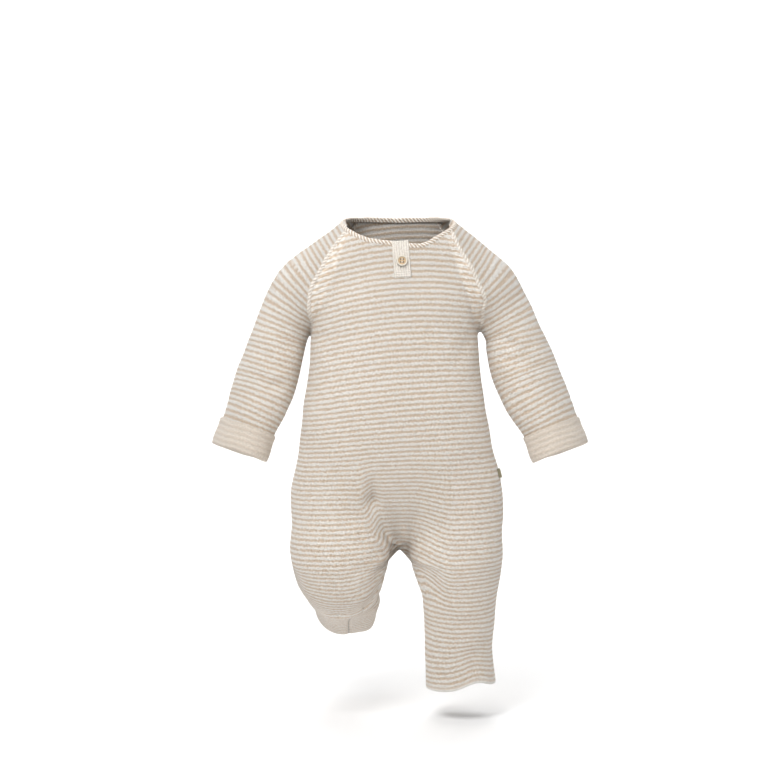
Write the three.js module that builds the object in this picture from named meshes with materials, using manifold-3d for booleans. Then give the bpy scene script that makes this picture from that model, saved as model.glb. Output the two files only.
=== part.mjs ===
// A baby's knitted romper, hollow, in the shape that it has when it is worn.
// Millimetres, +Z up. The front faces -Y, the wearer's left is +X, and the origin is
// the middle of the neck opening, where the garment hangs on the wearer's shoulders.
//
// The cloth follows one smooth body form: a torso and four limbs given by tables of
// sections and blended together. Each panel is a grid of points on that form between
// its seams, raised or sunk by the folds, and given the thickness of the knit.
import * as THREE from "three";
import Module from "manifold-3d";
import { mergeVertices } from "three/addons/utils/BufferGeometryUtils.js";

// Driving sizes.
const CLOTH = 2.0; // thickness of the double knit
const SEAM_GAP = 0.3; // between two pieces at a seam
const HALF_COLUMNS = 10; // grid columns over half of the body, or over half of a leg
const SLEEVE_COLUMNS = 22;
const RAGLAN_ROWS = 11;
const BODY_ROWS = 9; // from below the armhole to the hip
const HIP_ROWS = 6; // from the hip to the crotch
const SLEEVE_ROWS = 10;

// Torso sections: centre x and y, half the width, half the depth.
const TORSO = [
  { z: -351, x: 1, y: 12, half: 20, depth: 8 },
  { z: -344, x: 1, y: 12, half: 48, depth: 22 },
  { z: -332, x: 0, y: 14, half: 80, depth: 42 },
  { z: -317, x: -2, y: 13, half: 99, depth: 56 },
  { z: -295, x: -4, y: 8, half: 109, depth: 66 },
  { z: -265, x: -4, y: 1, half: 107, depth: 70 },
  { z: -232, x: -4, y: -4, half: 105, depth: 70 },
  { z: -195, x: -5, y: -6, half: 100, depth: 68 },
  { z: -155, x: -5, y: -4, half: 94, depth: 65 },
  { z: -111, x: -5, y: -1, half: 91, depth: 63 },
  { z: -78, x: -3, y: 1, half: 88, depth: 60 },
  { z: -45, x: -2, y: 4, half: 78, depth: 54 },
  { z: -20, x: -1, y: 6, half: 66, depth: 49 },
  { z: 5, x: -1, y: 9, half: 54, depth: 43 },
  { z: 30, x: -1, y: 12, half: 44, depth: 34 },
];
const TORSO_SQUARENESS = 2.3;

// Limb sections: a point of the axis and the radius of the cloth round it.
const RIGHT_ARM = [
  { x: -48, y: 4, z: -32, r: 40 },
  { x: -75, y: 4, z: -50, r: 39 },
  { x: -97, y: 4, z: -65, r: 38.5 },
  { x: -116, y: 4, z: -85, r: 33 },
  { x: -129, y: 3, z: -111, r: 30 },
  { x: -136.5, y: 1, z: -135, r: 32 },
  { x: -146, y: -2, z: -166, r: 34 },
  { x: -154, y: -6, z: -189, r: 33 },
  { x: -164, y: -10, z: -213, r: 30 },
  { x: -176, y: -15, z: -247, r: 28.5 },
];
const LEFT_ARM = [
  { x: 47, y: 4, z: -32, r: 40 },
  { x: 73, y: 4, z: -51, r: 39 },
  { x: 94, y: 4, z: -66, r: 37 },
  { x: 111, y: 4, z: -87, r: 32 },
  { x: 124, y: 3, z: -111, r: 30.5 },
  { x: 131, y: 1, z: -135, r: 34.5 },
  { x: 139, y: -1, z: -158, r: 36.5 },
  { x: 148, y: -5, z: -180, r: 36 },
  { x: 165, y: -10, z: -213, r: 31.5 },
  { x: 178, y: -15, z: -247, r: 29 },
];
const RIGHT_LEG = [
  { x: -60, y: 2, z: -285, r: 50 },
  { x: -64, y: -2, z: -320, r: 53.5 },
  { x: -65, y: -8, z: -350, r: 55 },
  { x: -65, y: -9, z: -373, r: 50 },
  { x: -64, y: 10, z: -388, r: 45 },
  { x: -64, y: 42, z: -398, r: 40 },
  { x: -64, y: 78, z: -417, r: 35 },
  { x: -64, y: 112, z: -437, r: 32.5 },
];
const LEFT_LEG = [
  { x: 58, y: 2, z: -285, r: 50 },
  { x: 62, y: 0, z: -320, r: 52 },
  { x: 63, y: -2, z: -350, r: 52 },
  { x: 65, y: -3, z: -372, r: 48 },
  { x: 67, y: -3, z: -395, r: 42.5 },
  { x: 67, y: 0, z: -425, r: 39.5 },
  { x: 66, y: 3, z: -465, r: 37.5 },
  { x: 69, y: 4, z: -503, r: 39 },
];
// Fillets between a limb and the torso: wide above, narrow where the gap opens.
const ARM_BLEND = { wide: 16, narrow: 2.5, from: -80, to: -106 };
const LEG_BLEND = { wide: 20, narrow: 5, from: -322, to: -352 };

// Where the seams run.
const NECK = { x: -1, y: 4, half: 53, depth: 45 };
// Height of the neck seam by the angle round the neck from the front, in degrees.
const NECK_LINE = [
  { angle: 0, z: -16 },
  { angle: 20, z: -15.6 },
  { angle: 35, z: -14 },
  { angle: 50, z: -10 },
  { angle: 66, z: -4 },
  { angle: 80, z: 3 },
  { angle: 95, z: 8 },
  { angle: 115, z: 9 },
  { angle: 140, z: 8.5 },
  { angle: 180, z: 7.5 },
];
// The neckline dips a little left of the middle of the front.
const NECK_DIP = { angle: 24, spread: 25, depth: 4.5 };
const RAGLAN_NECK_ANGLE = { front: 70, back: 128 };
const RAGLANS = {
  right: {
    front: [
      [-78, -33, -27],
      [-88, -36, -48],
      [-96, -35, -65],
      [-98, -29, -83],
      [-96, -14, -102],
    ],
    back: [
      [-68, 50, -14],
      [-86, 56, -42],
      [-96, 50, -66],
      [-98, 36, -86],
      [-97, 16, -102],
    ],
  },
  left: {
    front: [
      [69, -33, -23],
      [80, -36, -43],
      [88, -36, -62],
      [93.5, -31, -77],
      [92, -16, -95],
    ],
    back: [
      [65, 50, -14],
      [82, 56, -42],
      [91, 50, -66],
      [94, 36, -86],
      [93, 16, -102],
    ],
  },
};
const BELOW_ARMPIT = {
  right: { x: -101, y: 4, z: -138, lean: 0.14 },
  left: { x: 91.5, y: 4, z: -137, lean: -0.05 },
};
const BELOW_CROTCH = { x: 1, y: 8, z: -400, lean: 0 };
const SIDE_SEAM_ANGLE = { right: 91, left: 84 }; // degrees from the front
const LEG_TWIST = { right: 78, left: 0 }; // degrees that the bent leg's seams turn to its front

const CROTCH_SIDE_Z = -366; // height of the side seams where the legs part
const HIP_Z = -288; // where the rows begin to curve under to the crotch

const rad = THREE.MathUtils.degToRad;
const lerp = THREE.MathUtils.lerp;
const vec = (x, y, z) => new THREE.Vector3(x, y, z);

// Smooth reading of a table between its rows, by a named column that rises.
function readTable(table, key, at) {
  const last = table.length - 1;
  let i = 0;
  while (i < last - 1 && at > table[i + 1][key]) i++;
  const span = table[i + 1][key] - table[i][key];
  const t = THREE.MathUtils.clamp((at - table[i][key]) / span, 0, 1);
  const row = {};
  for (const name of Object.keys(table[0])) {
    const slope = (k) => {
      const a = table[Math.max(k - 1, 0)];
      const b = table[Math.min(k + 1, last)];
      return (b[name] - a[name]) / (b[key] - a[key]);
    };
    const [h, g] = [t * t * (3 - 2 * t), t * (1 - t)];
    row[name] =
      lerp(table[i][name], table[i + 1][name], h) +
      span * g * ((1 - t) * slope(i) - t * slope(i + 1));
  }
  return row;
}

// A limb as a chain of short segments along a smooth curve through its sections.
const LIMB_STEPS = 28;
function limbChain(sections) {
  const axis = new THREE.CatmullRomCurve3(sections.map((s) => vec(s.x, s.y, s.z)));
  const radii = new THREE.CatmullRomCurve3(sections.map((s) => vec(s.r, 0, 0)));
  const at = (t) => ({ centre: axis.getPoint(t), radius: radii.getPoint(t).x });
  const chain = [];
  for (let i = 0; i <= LIMB_STEPS; i++) chain.push(at(i / LIMB_STEPS));
  return { axis, at, chain };
}
const ARMS = { right: limbChain(RIGHT_ARM), left: limbChain(LEFT_ARM) };
const LEGS = { right: limbChain(RIGHT_LEG), left: limbChain(LEFT_LEG) };

function limbDistance(p, { chain }) {
  let least = Infinity;
  for (let i = 0; i + 1 < chain.length; i++) {
    const a = chain[i].centre;
    const b = chain[i + 1].centre;
    const dx = b.x - a.x;
    const dy = b.y - a.y;
    const dz = b.z - a.z;
    const along = (p.x - a.x) * dx + (p.y - a.y) * dy + (p.z - a.z) * dz;
    const t = Math.min(1, Math.max(0, along / (dx * dx + dy * dy + dz * dz)));
    const off = Math.hypot(p.x - a.x - t * dx, p.y - a.y - t * dy, p.z - a.z - t * dz);
    least = Math.min(least, off - lerp(chain[i].radius, chain[i + 1].radius, t));
  }
  return least;
}

function torsoDistance(p) {
  const lowest = TORSO[0].z;
  const s = readTable(TORSO, "z", p.z);
  const across = Math.abs(p.x - s.x) / s.half;
  const through = Math.abs(p.y - s.y) / s.depth;
  const n = TORSO_SQUARENESS;
  const reach = (across ** n + through ** n) ** (1 / n);
  return (reach - 1) * Math.min(s.half, s.depth) + Math.max(0, lowest - p.z);
}

function blendWidth(blend, z) {
  const share = THREE.MathUtils.smoothstep(-z, -blend.from, -blend.to);
  return lerp(blend.wide, blend.narrow, share);
}

function smoothMin(a, b, width) {
  const h = Math.max(width - Math.abs(a - b), 0) / width;
  return Math.min(a, b) - (h * h * width) / 4;
}

// The body form: negative inside the cloth's outer face, positive outside.
function form(p) {
  let d = torsoDistance(p);
  for (const side of ["right", "left"]) {
    d = smoothMin(d, limbDistance(p, ARMS[side]), blendWidth(ARM_BLEND, p.z));
    d = smoothMin(d, limbDistance(p, LEGS[side]), blendWidth(LEG_BLEND, p.z));
  }
  return d;
}

function formNormal(p) {
  const e = 0.4;
  const n = vec(
    form(vec(p.x + e, p.y, p.z)) - form(vec(p.x - e, p.y, p.z)),
    form(vec(p.x, p.y + e, p.z)) - form(vec(p.x, p.y - e, p.z)),
    form(vec(p.x, p.y, p.z + e)) - form(vec(p.x, p.y, p.z - e)),
  );
  return n.normalize();
}

// The point where a line up from the gap between two limbs meets the form.
function roofAbove({ x, y, z, lean }) {
  let rise = 0;
  while (form(vec(x + rise * lean, y, z + rise)) > 0 && rise < 90) rise += 1;
  return settle(vec(x + rise * lean, y, z + rise));
}

// The point of the form nearest to a seed that lies close to it.
function settle(seed) {
  const p = seed.clone();
  for (let i = 0; i < 8; i++) {
    const move = THREE.MathUtils.clamp(form(p), -8, 8);
    p.addScaledVector(formNormal(p), -move);
  }
  return p;
}

// As settle, but the point keeps its height.
function settleLevel(seed) {
  const p = seed.clone();
  for (let i = 0; i < 8; i++) {
    const n = formNormal(p);
    const move = THREE.MathUtils.clamp(form(p), -3, 3) / Math.max(n.x * n.x + n.y * n.y, 0.3);
    p.x -= n.x * move;
    p.y -= n.y * move;
  }
  return p;
}

// Folds of the worn cloth: soft troughs (depth below 0) and ridges along short lines.
const FOLDS = [
  { from: [-34, -57, -258], to: [-30, -62, -300], width: 9, depth: -4 },
  { from: [-30, -62, -300], to: [-22, -60, -330], width: 9, depth: -5 },
  { from: [-22, -60, -330], to: [-6, -30, -348], width: 8, depth: -4.5 },
  { from: [-46, -58, -268], to: [-40, -62, -322], width: 10, depth: 3 },
  { from: [18, -45, -345], to: [48, -58, -322], width: 9, depth: -3 },
  { from: [46, -34, -474], to: [90, -32, -470], width: 8, depth: -2.5 },
  { from: [-150, -32, -160], to: [-120, -34, -176], width: 9, depth: -3 },
  { from: [120, -32, -128], to: [150, -30, -150], width: 9, depth: -3 },
  { from: [92, -32, -82], to: [92, -20, -98], width: 8, depth: -3.5 },
  { from: [96, -36, -108], to: [108, -36, -120], width: 8, depth: -3 },
  { from: [-100, -30, -118], to: [-122, -32, -128], width: 8, depth: -2.5 },
  { from: [-40, 66, -262], to: [-8, 58, -330], width: 11, depth: -4 },
  { from: [44, 66, -272], to: [16, 58, -334], width: 11, depth: -4 },
  { from: [-96, -34, -390], to: [-36, -40, -402], width: 9, depth: 3 },
  { from: [-100, -8, -403], to: [-66, -14, -422], width: 8, depth: -4.5 },
  { from: [-66, -14, -422], to: [-34, -12, -414], width: 8, depth: -4 },
  { from: [-110, 18, -388], to: [-103, -4, -402], width: 9, depth: -6 },
  { from: [-34, 55, -420], to: [-36, 104, -456], width: 13, depth: 9 },
];

// How much the folds move the cloth out at a point.
function foldHeight(p) {
  let height = 0;
  for (const fold of FOLDS) {
    const line = new THREE.Line3(vec(...fold.from), vec(...fold.to));
    const nearest = line.closestPointToPoint(p, true, vec(0, 0, 0));
    const away = nearest.distanceTo(p) / fold.width;
    height += fold.depth * Math.exp(-away * away);
  }
  return height;
}

// A point of the cloth from a seed near it: its outer face and the way out.
function clothPoint(seed) {
  const p = settle(seed);
  const n = formNormal(p);
  p.addScaledVector(n, foldHeight(p));
  return { p, n };
}

// Seeds on the torso, the neck and the limbs.
function torsoSeed(angle, z) {
  const s = readTable(TORSO, "z", z);
  const [c, d] = [Math.sin(angle), -Math.cos(angle)];
  const n = TORSO_SQUARENESS;
  const reach = (Math.abs(c / s.half) ** n + Math.abs(d / s.depth) ** n) ** (-1 / n);
  return vec(s.x + c * reach, s.y + d * reach, z);
}

function torsoAngle(p) {
  const s = readTable(TORSO, "z", p.z);
  return Math.atan2(p.x - s.x, s.y - p.y);
}

// Height of the neck seam, and the seam's point, at an angle round the neck.
function neckZ(angle) {
  const fromFront = THREE.MathUtils.radToDeg(Math.acos(Math.cos(angle)));
  const leftward = Math.sin(angle) < 0 ? -fromFront : fromFront;
  const offDip = (leftward - NECK_DIP.angle) / NECK_DIP.spread;
  const dip = NECK_DIP.depth * Math.exp(-offDip * offDip);
  return readTable(NECK_LINE, "angle", fromFront).z - dip;
}

function neckPoint(angle) {
  const x = NECK.x + NECK.half * Math.sin(angle);
  const y = NECK.y - NECK.depth * Math.cos(angle);
  const p = settleLevel(vec(x, y, neckZ(angle)));
  return { p, n: formNormal(p) };
}

// The frame of a limb at t: its centre, its way along, and two ways across.
function limbFrame(limb, t, outward) {
  const { centre, radius } = limb.at(t);
  const along = limb.axis.getTangent(t);
  const across = outward.clone().addScaledVector(along, -outward.dot(along)).normalize();
  const front = vec(0, 0, 0).crossVectors(across, along);
  if (outward.x > 0) front.negate();
  return { centre, radius, along, across, front };
}

function limbSeed(frame, angle, shift = 0) {
  return frame.centre
    .clone()
    .addScaledVector(frame.across, frame.radius * Math.cos(angle))
    .addScaledVector(frame.front, frame.radius * Math.sin(angle))
    .addScaledVector(frame.along, shift);
}

// The limb's parameter at which its axis passes a height.
function limbAtHeight(limb, z) {
  let [low, high] = [0, 1];
  for (let i = 0; i < 24; i++) {
    const middle = (low + high) / 2;
    if (limb.axis.getPoint(middle).z > z) low = middle;
    else high = middle;
  }
  return (low + high) / 2;
}

const range = (count) => Array.from({ length: count }, (_, i) => i);
const spread = (a, b, count, make) =>
  range(count + 1).map((i) => make(lerp(a, b, i / count), i / count));

// The seams that two pieces share. Each is a row of cloth points from the top down.
const sides = ["right", "left"];
const outOf = { right: vec(-1, 0, 0), left: vec(1, 0, 0) };
const underarm = {};
const raglan = { right: {}, left: {} };
for (const side of sides) {
  const armpit = roofAbove(BELOW_ARMPIT[side]);
  underarm[side] = clothPoint(armpit);
  for (const face of ["front", "back"]) {
    const turn = rad(RAGLAN_NECK_ANGLE[face]);
    const start = neckPoint(side === "left" ? turn : -turn);
    const knots = [start.p, ...RAGLANS[side][face].map((k) => settle(vec(...k))), armpit];
    const curve = new THREE.CatmullRomCurve3(knots, false, "centripetal");
    const seam = curve.getSpacedPoints(RAGLAN_ROWS).map(clothPoint);
    seam[0] = start;
    seam[RAGLAN_ROWS] = underarm[side];
    raglan[side][face] = seam;
  }
}

const crotch = clothPoint(roofAbove(BELOW_CROTCH));
const firstSideZ = { right: underarm.right.p.z - 10, left: underarm.left.p.z - 10 };

// A panel's torso rows, from the neck to the hip, each from one side to the other.
function torsoRows(face, from, to) {
  const columns = 2 * HALF_COLUMNS;
  const wind = (point) => {
    const a = torsoAngle(point);
    return face === "back" && a < 0 ? a + 2 * Math.PI : a;
  };
  const neckEdge = rad(RAGLAN_NECK_ANGLE[face]);
  const neckEnds = face === "front" ? [-neckEdge, neckEdge] : [neckEdge, 2 * Math.PI - neckEdge];
  const rows = range(RAGLAN_ROWS + 1).map((k) => {
    const [a, b] = [raglan[from][face][k], raglan[to][face][k]];
    const neckShare = (1 - k / RAGLAN_ROWS) ** 2;
    return spread(0, 1, columns, (u) => {
      if (u === 0) return a;
      if (u === 1) return b;
      const neckTurn = lerp(...neckEnds, u);
      if (k === 0) return neckPoint(neckTurn);
      const sunk = neckShare * (neckZ(neckTurn) - neckZ(neckEdge));
      const z = lerp(a.p.z, b.p.z, u) + sunk;
      return clothPoint(torsoSeed(lerp(wind(a.p), wind(b.p), u), z));
    });
  });
  for (let i = 1; i <= BODY_ROWS; i++) {
    const [angleA, angleB] = [from, to].map((side) => {
      const angle = rad(SIDE_SEAM_ANGLE[side]) * (side === "right" ? -1 : 1);
      return face === "back" && angle < 0 ? angle + 2 * Math.PI : angle;
    });
    rows.push(
      spread(angleA, angleB, columns, (angle, u) => {
        const top = lerp(firstSideZ[from], firstSideZ[to], u);
        const z = lerp(top, HIP_Z, (i - 1) / (BODY_ROWS - 1));
        return clothPoint(torsoSeed(angle, z));
      }),
    );
  }
  return rows;
}

// Half of a leg's ring, from the side seam to the inseam, round its front or its back.
function legRow(side, face, t) {
  const frame = limbFrame(LEGS[side], t, outOf[side]);
  const turn = face === "front" ? 1 : -1;
  const { smoothstep } = THREE.MathUtils;
  const share = 0.7 * smoothstep(t, 0.37, 0.54) + 0.3 * smoothstep(t, 0.54, 0.85);
  const twist = rad(LEG_TWIST[side]) * share;
  return spread(0, Math.PI, HALF_COLUMNS, (a) => clothPoint(limbSeed(frame, turn * a - twist)));
}

const LEG_ROWS = { right: 11, left: 9 };
function legRows(side, face) {
  const start = limbAtHeight(LEGS[side], CROTCH_SIDE_Z);
  const first = legRow(side, face, start);
  const toCrotch = (u) => THREE.MathUtils.smoothstep(u, 0.55, 1);
  const top = first.map((point, c) => {
    if (c === HALF_COLUMNS) return crotch;
    const pull = toCrotch(c / HALF_COLUMNS);
    return clothPoint(point.p.clone().lerp(crotch.p, pull));
  });
  const rest = spread(start, 1, LEG_ROWS[side], (t) => legRow(side, face, t)).slice(1);
  return [top, ...rest];
}

// One mesh of the outer face of a front or back panel: torso, hips and two legs.
function bodyPanel(face) {
  const [from, to] = face === "front" ? ["right", "left"] : ["left", "right"];
  const points = [];
  const faces = [];
  const add = (row) => row.map((point) => points.push(point) - 1);
  const join = (above, below) => {
    for (let c = 0; c + 1 < above.length; c++) {
      faces.push([above[c], below[c], below[c + 1]]);
      faces.push([above[c], below[c + 1], above[c + 1]]);
    }
  };
  const torso = torsoRows(face, from, to);
  const legs = { [from]: legRows(from, face), [to]: legRows(to, face) };
  legs[to] = legs[to].map((row) => [...row].reverse());
  const hip = torso[torso.length - 1];
  const crotchRow = [...legs[from][0], ...legs[to][0].slice(1)];
  for (let i = 1; i < HIP_ROWS; i++) {
    const w = i / HIP_ROWS;
    torso.push(hip.map((point, c) => clothPoint(point.p.clone().lerp(crotchRow[c].p, w))));
  }
  torso.push(crotchRow);
  const ids = torso.map(add);
  for (let i = 0; i + 1 < ids.length; i++) join(ids[i], ids[i + 1]);
  const bottom = ids[ids.length - 1];
  for (const side of [from, to]) {
    const half = side === from ? bottom.slice(0, HALF_COLUMNS + 1) : bottom.slice(HALF_COLUMNS);
    let above = half;
    for (const row of legs[side].slice(1)) {
      const below = add(row);
      join(above, below);
      above = below;
    }
  }
  return { points, faces, torso, legs };
}

// A sleeve: arcs over the shoulder, then rings down the arm, then the cuff turned back.
const CUFF = { height: 27, space: 1.5, fold: [0.25, 0.5, 0.75] };
const CUFF_START = 0.985; // where on the arm's axis the cloth turns back
const RING_START_Z = -98;

function armFrame(arm, t) {
  const { centre, radius } = arm.at(t);
  const along = arm.axis.getTangent(t);
  const up = vec(0, 0, 1).addScaledVector(along, -along.z).normalize();
  const front = vec(0, -1, 0).addScaledVector(along, along.y).normalize();
  return { centre, radius, along, up, front };
}

function armSeed(frame, angle, shift) {
  return frame.centre
    .clone()
    .addScaledVector(frame.front, frame.radius * Math.cos(angle))
    .addScaledVector(frame.up, frame.radius * Math.sin(angle))
    .addScaledVector(frame.along, shift);
}

function shoulderRow(side, k, frame) {
  const [a, b] = [raglan[side].front[k], raglan[side].back[k]];
  const place = ({ p }) => {
    const d = p.clone().sub(frame.centre);
    const angle = Math.atan2(d.dot(frame.up), d.dot(frame.front));
    return { angle, shift: d.dot(frame.along) };
  };
  const [start, end] = [place(a), place(b)];
  if (end.angle <= start.angle) end.angle += 2 * Math.PI;
  const hand = side === "left" ? 1 : -1;
  const neckShare = Math.max(0, 1 - k / 4) ** 2;
  const neckFrom = rad(RAGLAN_NECK_ANGLE.front);
  const neckTo = rad(RAGLAN_NECK_ANGLE.back);
  return spread(0, 1, SLEEVE_COLUMNS, (u) => {
    if (u === 0) return a;
    if (u === 1) return b;
    const atNeck = neckPoint(hand * lerp(neckFrom, neckTo, u));
    if (k === 0) return atNeck;
    const shift = lerp(start.shift, end.shift, u);
    const seed = armSeed(frame, lerp(start.angle, end.angle, u), shift);
    return clothPoint(seed.lerp(atNeck.p, neckShare));
  });
}

function sleeveRows(side) {
  const arm = ARMS[side];
  const ringStart = limbAtHeight(arm, RING_START_Z);
  const rows = range(RAGLAN_ROWS + 1).map((k) =>
    shoulderRow(side, k, armFrame(arm, lerp(0.02, ringStart, k / RAGLAN_ROWS))),
  );
  for (let i = 1; i <= SLEEVE_ROWS; i++) {
    const frame = armFrame(arm, lerp(ringStart, CUFF_START, i / SLEEVE_ROWS));
    const ring = (angle) => clothPoint(armSeed(frame, angle, 0));
    rows.push(spread(-Math.PI / 2, 1.5 * Math.PI, SLEEVE_COLUMNS, ring));
  }
  // The fold: the outer face turns round a small half circle and runs back up.
  const edge = rows[rows.length - 1];
  const along = arm.axis.getTangent(CUFF_START);
  const half = CUFF.space / 2;
  const turned = (turn, height) =>
    edge.map(({ p, n }) => ({
      p: p
        .clone()
        .addScaledVector(n, half * (1 - Math.cos(turn)))
        .addScaledVector(along, half * Math.sin(turn) - height),
      n: n.clone().multiplyScalar(Math.cos(turn)).addScaledVector(along, -Math.sin(turn)),
    }));
  for (const share of CUFF.fold) rows.push(turned(share * Math.PI, 0));
  for (const share of [0, 0.5, 1]) rows.push(turned(Math.PI, share * CUFF.height));
  return rows;
}

function sleevePanel(side) {
  const points = [];
  const faces = [];
  let above = null;
  const rows = sleeveRows(side);
  rows.forEach((row, k) => {
    const closed = k >= RAGLAN_ROWS;
    const below = row.slice(0, closed ? -1 : undefined).map((point) => points.push(point) - 1);
    if (closed) below.push(below[0]);
    for (let c = 0; above && c < SLEEVE_COLUMNS; c++) {
      const quad = [above[c], below[c], below[c + 1], above[c + 1]];
      if (side === "right") quad.reverse();
      faces.push([quad[0], quad[1], quad[2]], [quad[0], quad[2], quad[3]]);
    }
    above = below;
  });
  return { points, faces, rows };
}

// Edges that only one face uses, each in that face's direction.
function borderOf(faces) {
  const used = new Set();
  for (const [a, b, c] of faces) {
    used.add([a, b].join());
    used.add([b, c].join());
    used.add([c, a].join());
  }
  return [...used]
    .map((key) => key.split(",").map(Number))
    .filter(([a, b]) => !used.has([b, a].join()));
}

// A closed wall from its outer face: drawn in from its seams, then given thickness.
function wall({ points, faces }, thickness = CLOTH) {
  const border = borderOf(faces);
  const inward = new Map();
  for (const [a, b] of border) {
    const run = points[b].p.clone().sub(points[a].p).normalize();
    for (const v of [a, b]) {
      const into = vec(0, 0, 0).crossVectors(points[v].n, run).normalize();
      inward.set(v, [...(inward.get(v) ?? []), into]);
    }
  }
  const outer = points.map(({ p }) => p.clone());
  for (const [v, [first, second]] of inward) {
    const both = first.clone().add(second);
    const scale = Math.min(2, 2 / Math.max(both.lengthSq(), 0.2));
    outer[v].addScaledVector(both, (SEAM_GAP / 2) * scale);
  }
  const inner = outer.map((p, i) => p.clone().addScaledVector(points[i].n, -thickness));
  const count = points.length;
  const triangles = [...faces];
  for (const [a, b, c] of faces) triangles.push([a + count, c + count, b + count]);
  // Two pieces that share a seam split its rim along the same diagonals.
  const rank = ({ p }) => p.z + 0.1 * p.x + 0.01 * p.y;
  for (const [a, b] of border) {
    const [a2, b2] = [a + count, b + count];
    if (rank(points[a]) > rank(points[b])) triangles.push([b, a, b2], [a, a2, b2]);
    else triangles.push([b, a, a2], [b, a2, b2]);
  }
  const corners = [...outer, ...inner];
  const geometry = new THREE.BufferGeometry().setFromPoints(corners);
  geometry.setIndex(triangles.flat());
  geometry.computeVertexNormals();
  return geometry;
}

// A bar swept along rows of section points, closed into a ring or capped at its ends.
function sweep(sections, closed) {
  const size = sections[0].length;
  const count = sections.length;
  const triangles = [];
  for (let i = 0; i + (closed ? 0 : 1) < count; i++) {
    const next = (i + 1) % count;
    for (let j = 0; j < size; j++) {
      const k = (j + 1) % size;
      const quad = [i * size + j, next * size + j, next * size + k, i * size + k];
      triangles.push([quad[0], quad[1], quad[2]], [quad[0], quad[2], quad[3]]);
    }
  }
  for (let j = 1; !closed && j + 1 < size; j++) {
    const end = (count - 1) * size;
    triangles.push([0, j, j + 1], [end, end + j + 1, end + j]);
  }
  const geometry = new THREE.BufferGeometry().setFromPoints(sections.flat());
  geometry.setIndex(triangles.flat());
  geometry.computeVertexNormals();
  return geometry;
}

// Turns a closed geometry's faces outward if they point in.
function facingOut(geometry) {
  const position = geometry.getAttribute("position");
  const index = Array.from(geometry.getIndex().array);
  const [a, b, c] = [vec(0, 0, 0), vec(0, 0, 0), vec(0, 0, 0)];
  let volume = 0;
  for (let i = 0; i < index.length; i += 3) {
    a.fromBufferAttribute(position, index[i]);
    b.fromBufferAttribute(position, index[i + 1]);
    c.fromBufferAttribute(position, index[i + 2]);
    volume += a.dot(b.cross(c));
  }
  if (volume < 0) geometry.setIndex(index.reverse());
  geometry.computeVertexNormals();
  return geometry;
}

const group = new THREE.Group();
const KNIT = { color: "#d9cabb", roughness: 0.95 };
const TRIM = { color: "#e3d8ca", roughness: 0.95 };
const WOOD = { color: "#c3a27c", roughness: 0.6 };
const TAPE = { color: "#a79c80", roughness: 0.9 };
function addMesh(name, geometry, look) {
  const mesh = new THREE.Mesh(facingOut(geometry), new THREE.MeshStandardMaterial(look));
  mesh.name = name;
  group.add(mesh);
  return mesh;
}

const panels = { front: bodyPanel("front"), back: bodyPanel("back") };
const sleeves = { right: sleevePanel("right"), left: sleevePanel("left") };
addMesh("front", wall(panels.front), KNIT);
addMesh("back", wall(panels.back), KNIT);
addMesh("sleeve_right", wall(sleeves.right), KNIT);
addMesh("sleeve_left", wall(sleeves.left), KNIT);

// The neckband stands on the top edges of the panels and the sleeves.
const BAND = { height: 4.5, thickness: 2.6, proud: 0.4 };
const neckPoints = [
  ...panels.front.torso[0].slice(0, -1),
  ...sleeves.left.rows[0].slice(0, -1),
  ...panels.back.torso[0].slice(0, -1),
  ...[...sleeves.right.rows[0]].reverse().slice(0, -1),
];
function bandSections() {
  const count = neckPoints.length;
  return neckPoints.map(({ p, n }, i) => {
    const before = neckPoints[(i + count - 1) % count].p;
    const after = neckPoints[(i + 1) % count].p;
    const run = after.clone().sub(before).normalize();
    const up = vec(0, 0, 0).crossVectors(n, run).normalize();
    const at = (out, rise) => p.clone().addScaledVector(n, out).addScaledVector(up, rise);
    const bottom = SEAM_GAP / 2;
    const top = bottom + BAND.height;
    const inner = BAND.proud - BAND.thickness;
    return [
      at(BAND.proud - 0.5, bottom),
      at(BAND.proud, bottom + 0.6),
      at(BAND.proud, top - 0.7),
      at(BAND.proud - 0.7, top),
      at(inner + 0.7, top),
      at(inner, top - 0.7),
      at(inner, bottom),
    ];
  });
}
addMesh("neckband", sweep(bandSections(), true), TRIM);

// Raglan seams: a raised welt that straddles each seam between body and sleeve.
const WELT = { half: 2.4, gap: [0.45, 1.0], edge: 0.9, crown: 1.6, start: 0.7 };
function weltSections(side, face) {
  const seam = raglan[side][face];
  const body = panels[face].torso;
  const atStart = (face === "front") === (side === "right");
  return range(RAGLAN_ROWS - 2).map((k) => {
    const { p: top0, n } = seam[k];
    const gap = lerp(WELT.gap[0], WELT.gap[1], k / RAGLAN_ROWS);
    const p = top0.clone();
    if (k === 0) p.lerp(seam[1].p, WELT.start / p.distanceTo(seam[1].p));
    const inBody = body[k].at(atStart ? 1 : -2).p;
    const inSleeve = sleeves[side].rows[k].at(face === "front" ? 1 : -2).p;
    const reach = (to) => {
      const run = to.clone().sub(top0);
      return p.clone().addScaledVector(run, WELT.half / run.length());
    };
    const [a, b] = [reach(inBody), reach(inSleeve)];
    const out = (point, height) => point.clone().addScaledVector(n, height);
    return [
      out(a, gap),
      out(a, gap + WELT.edge),
      out(a.clone().lerp(p, 0.6), gap + WELT.crown),
      out(b.clone().lerp(p, 0.6), gap + WELT.crown),
      out(b, gap + WELT.edge),
      out(b, gap),
      out(p, gap),
    ];
  });
}
for (const side of sides) {
  for (const face of ["front", "back"]) {
    addMesh(`raglan_seam_${face}_${side}`, sweep(weltSections(side, face), false), TRIM);
  }
}

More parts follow.
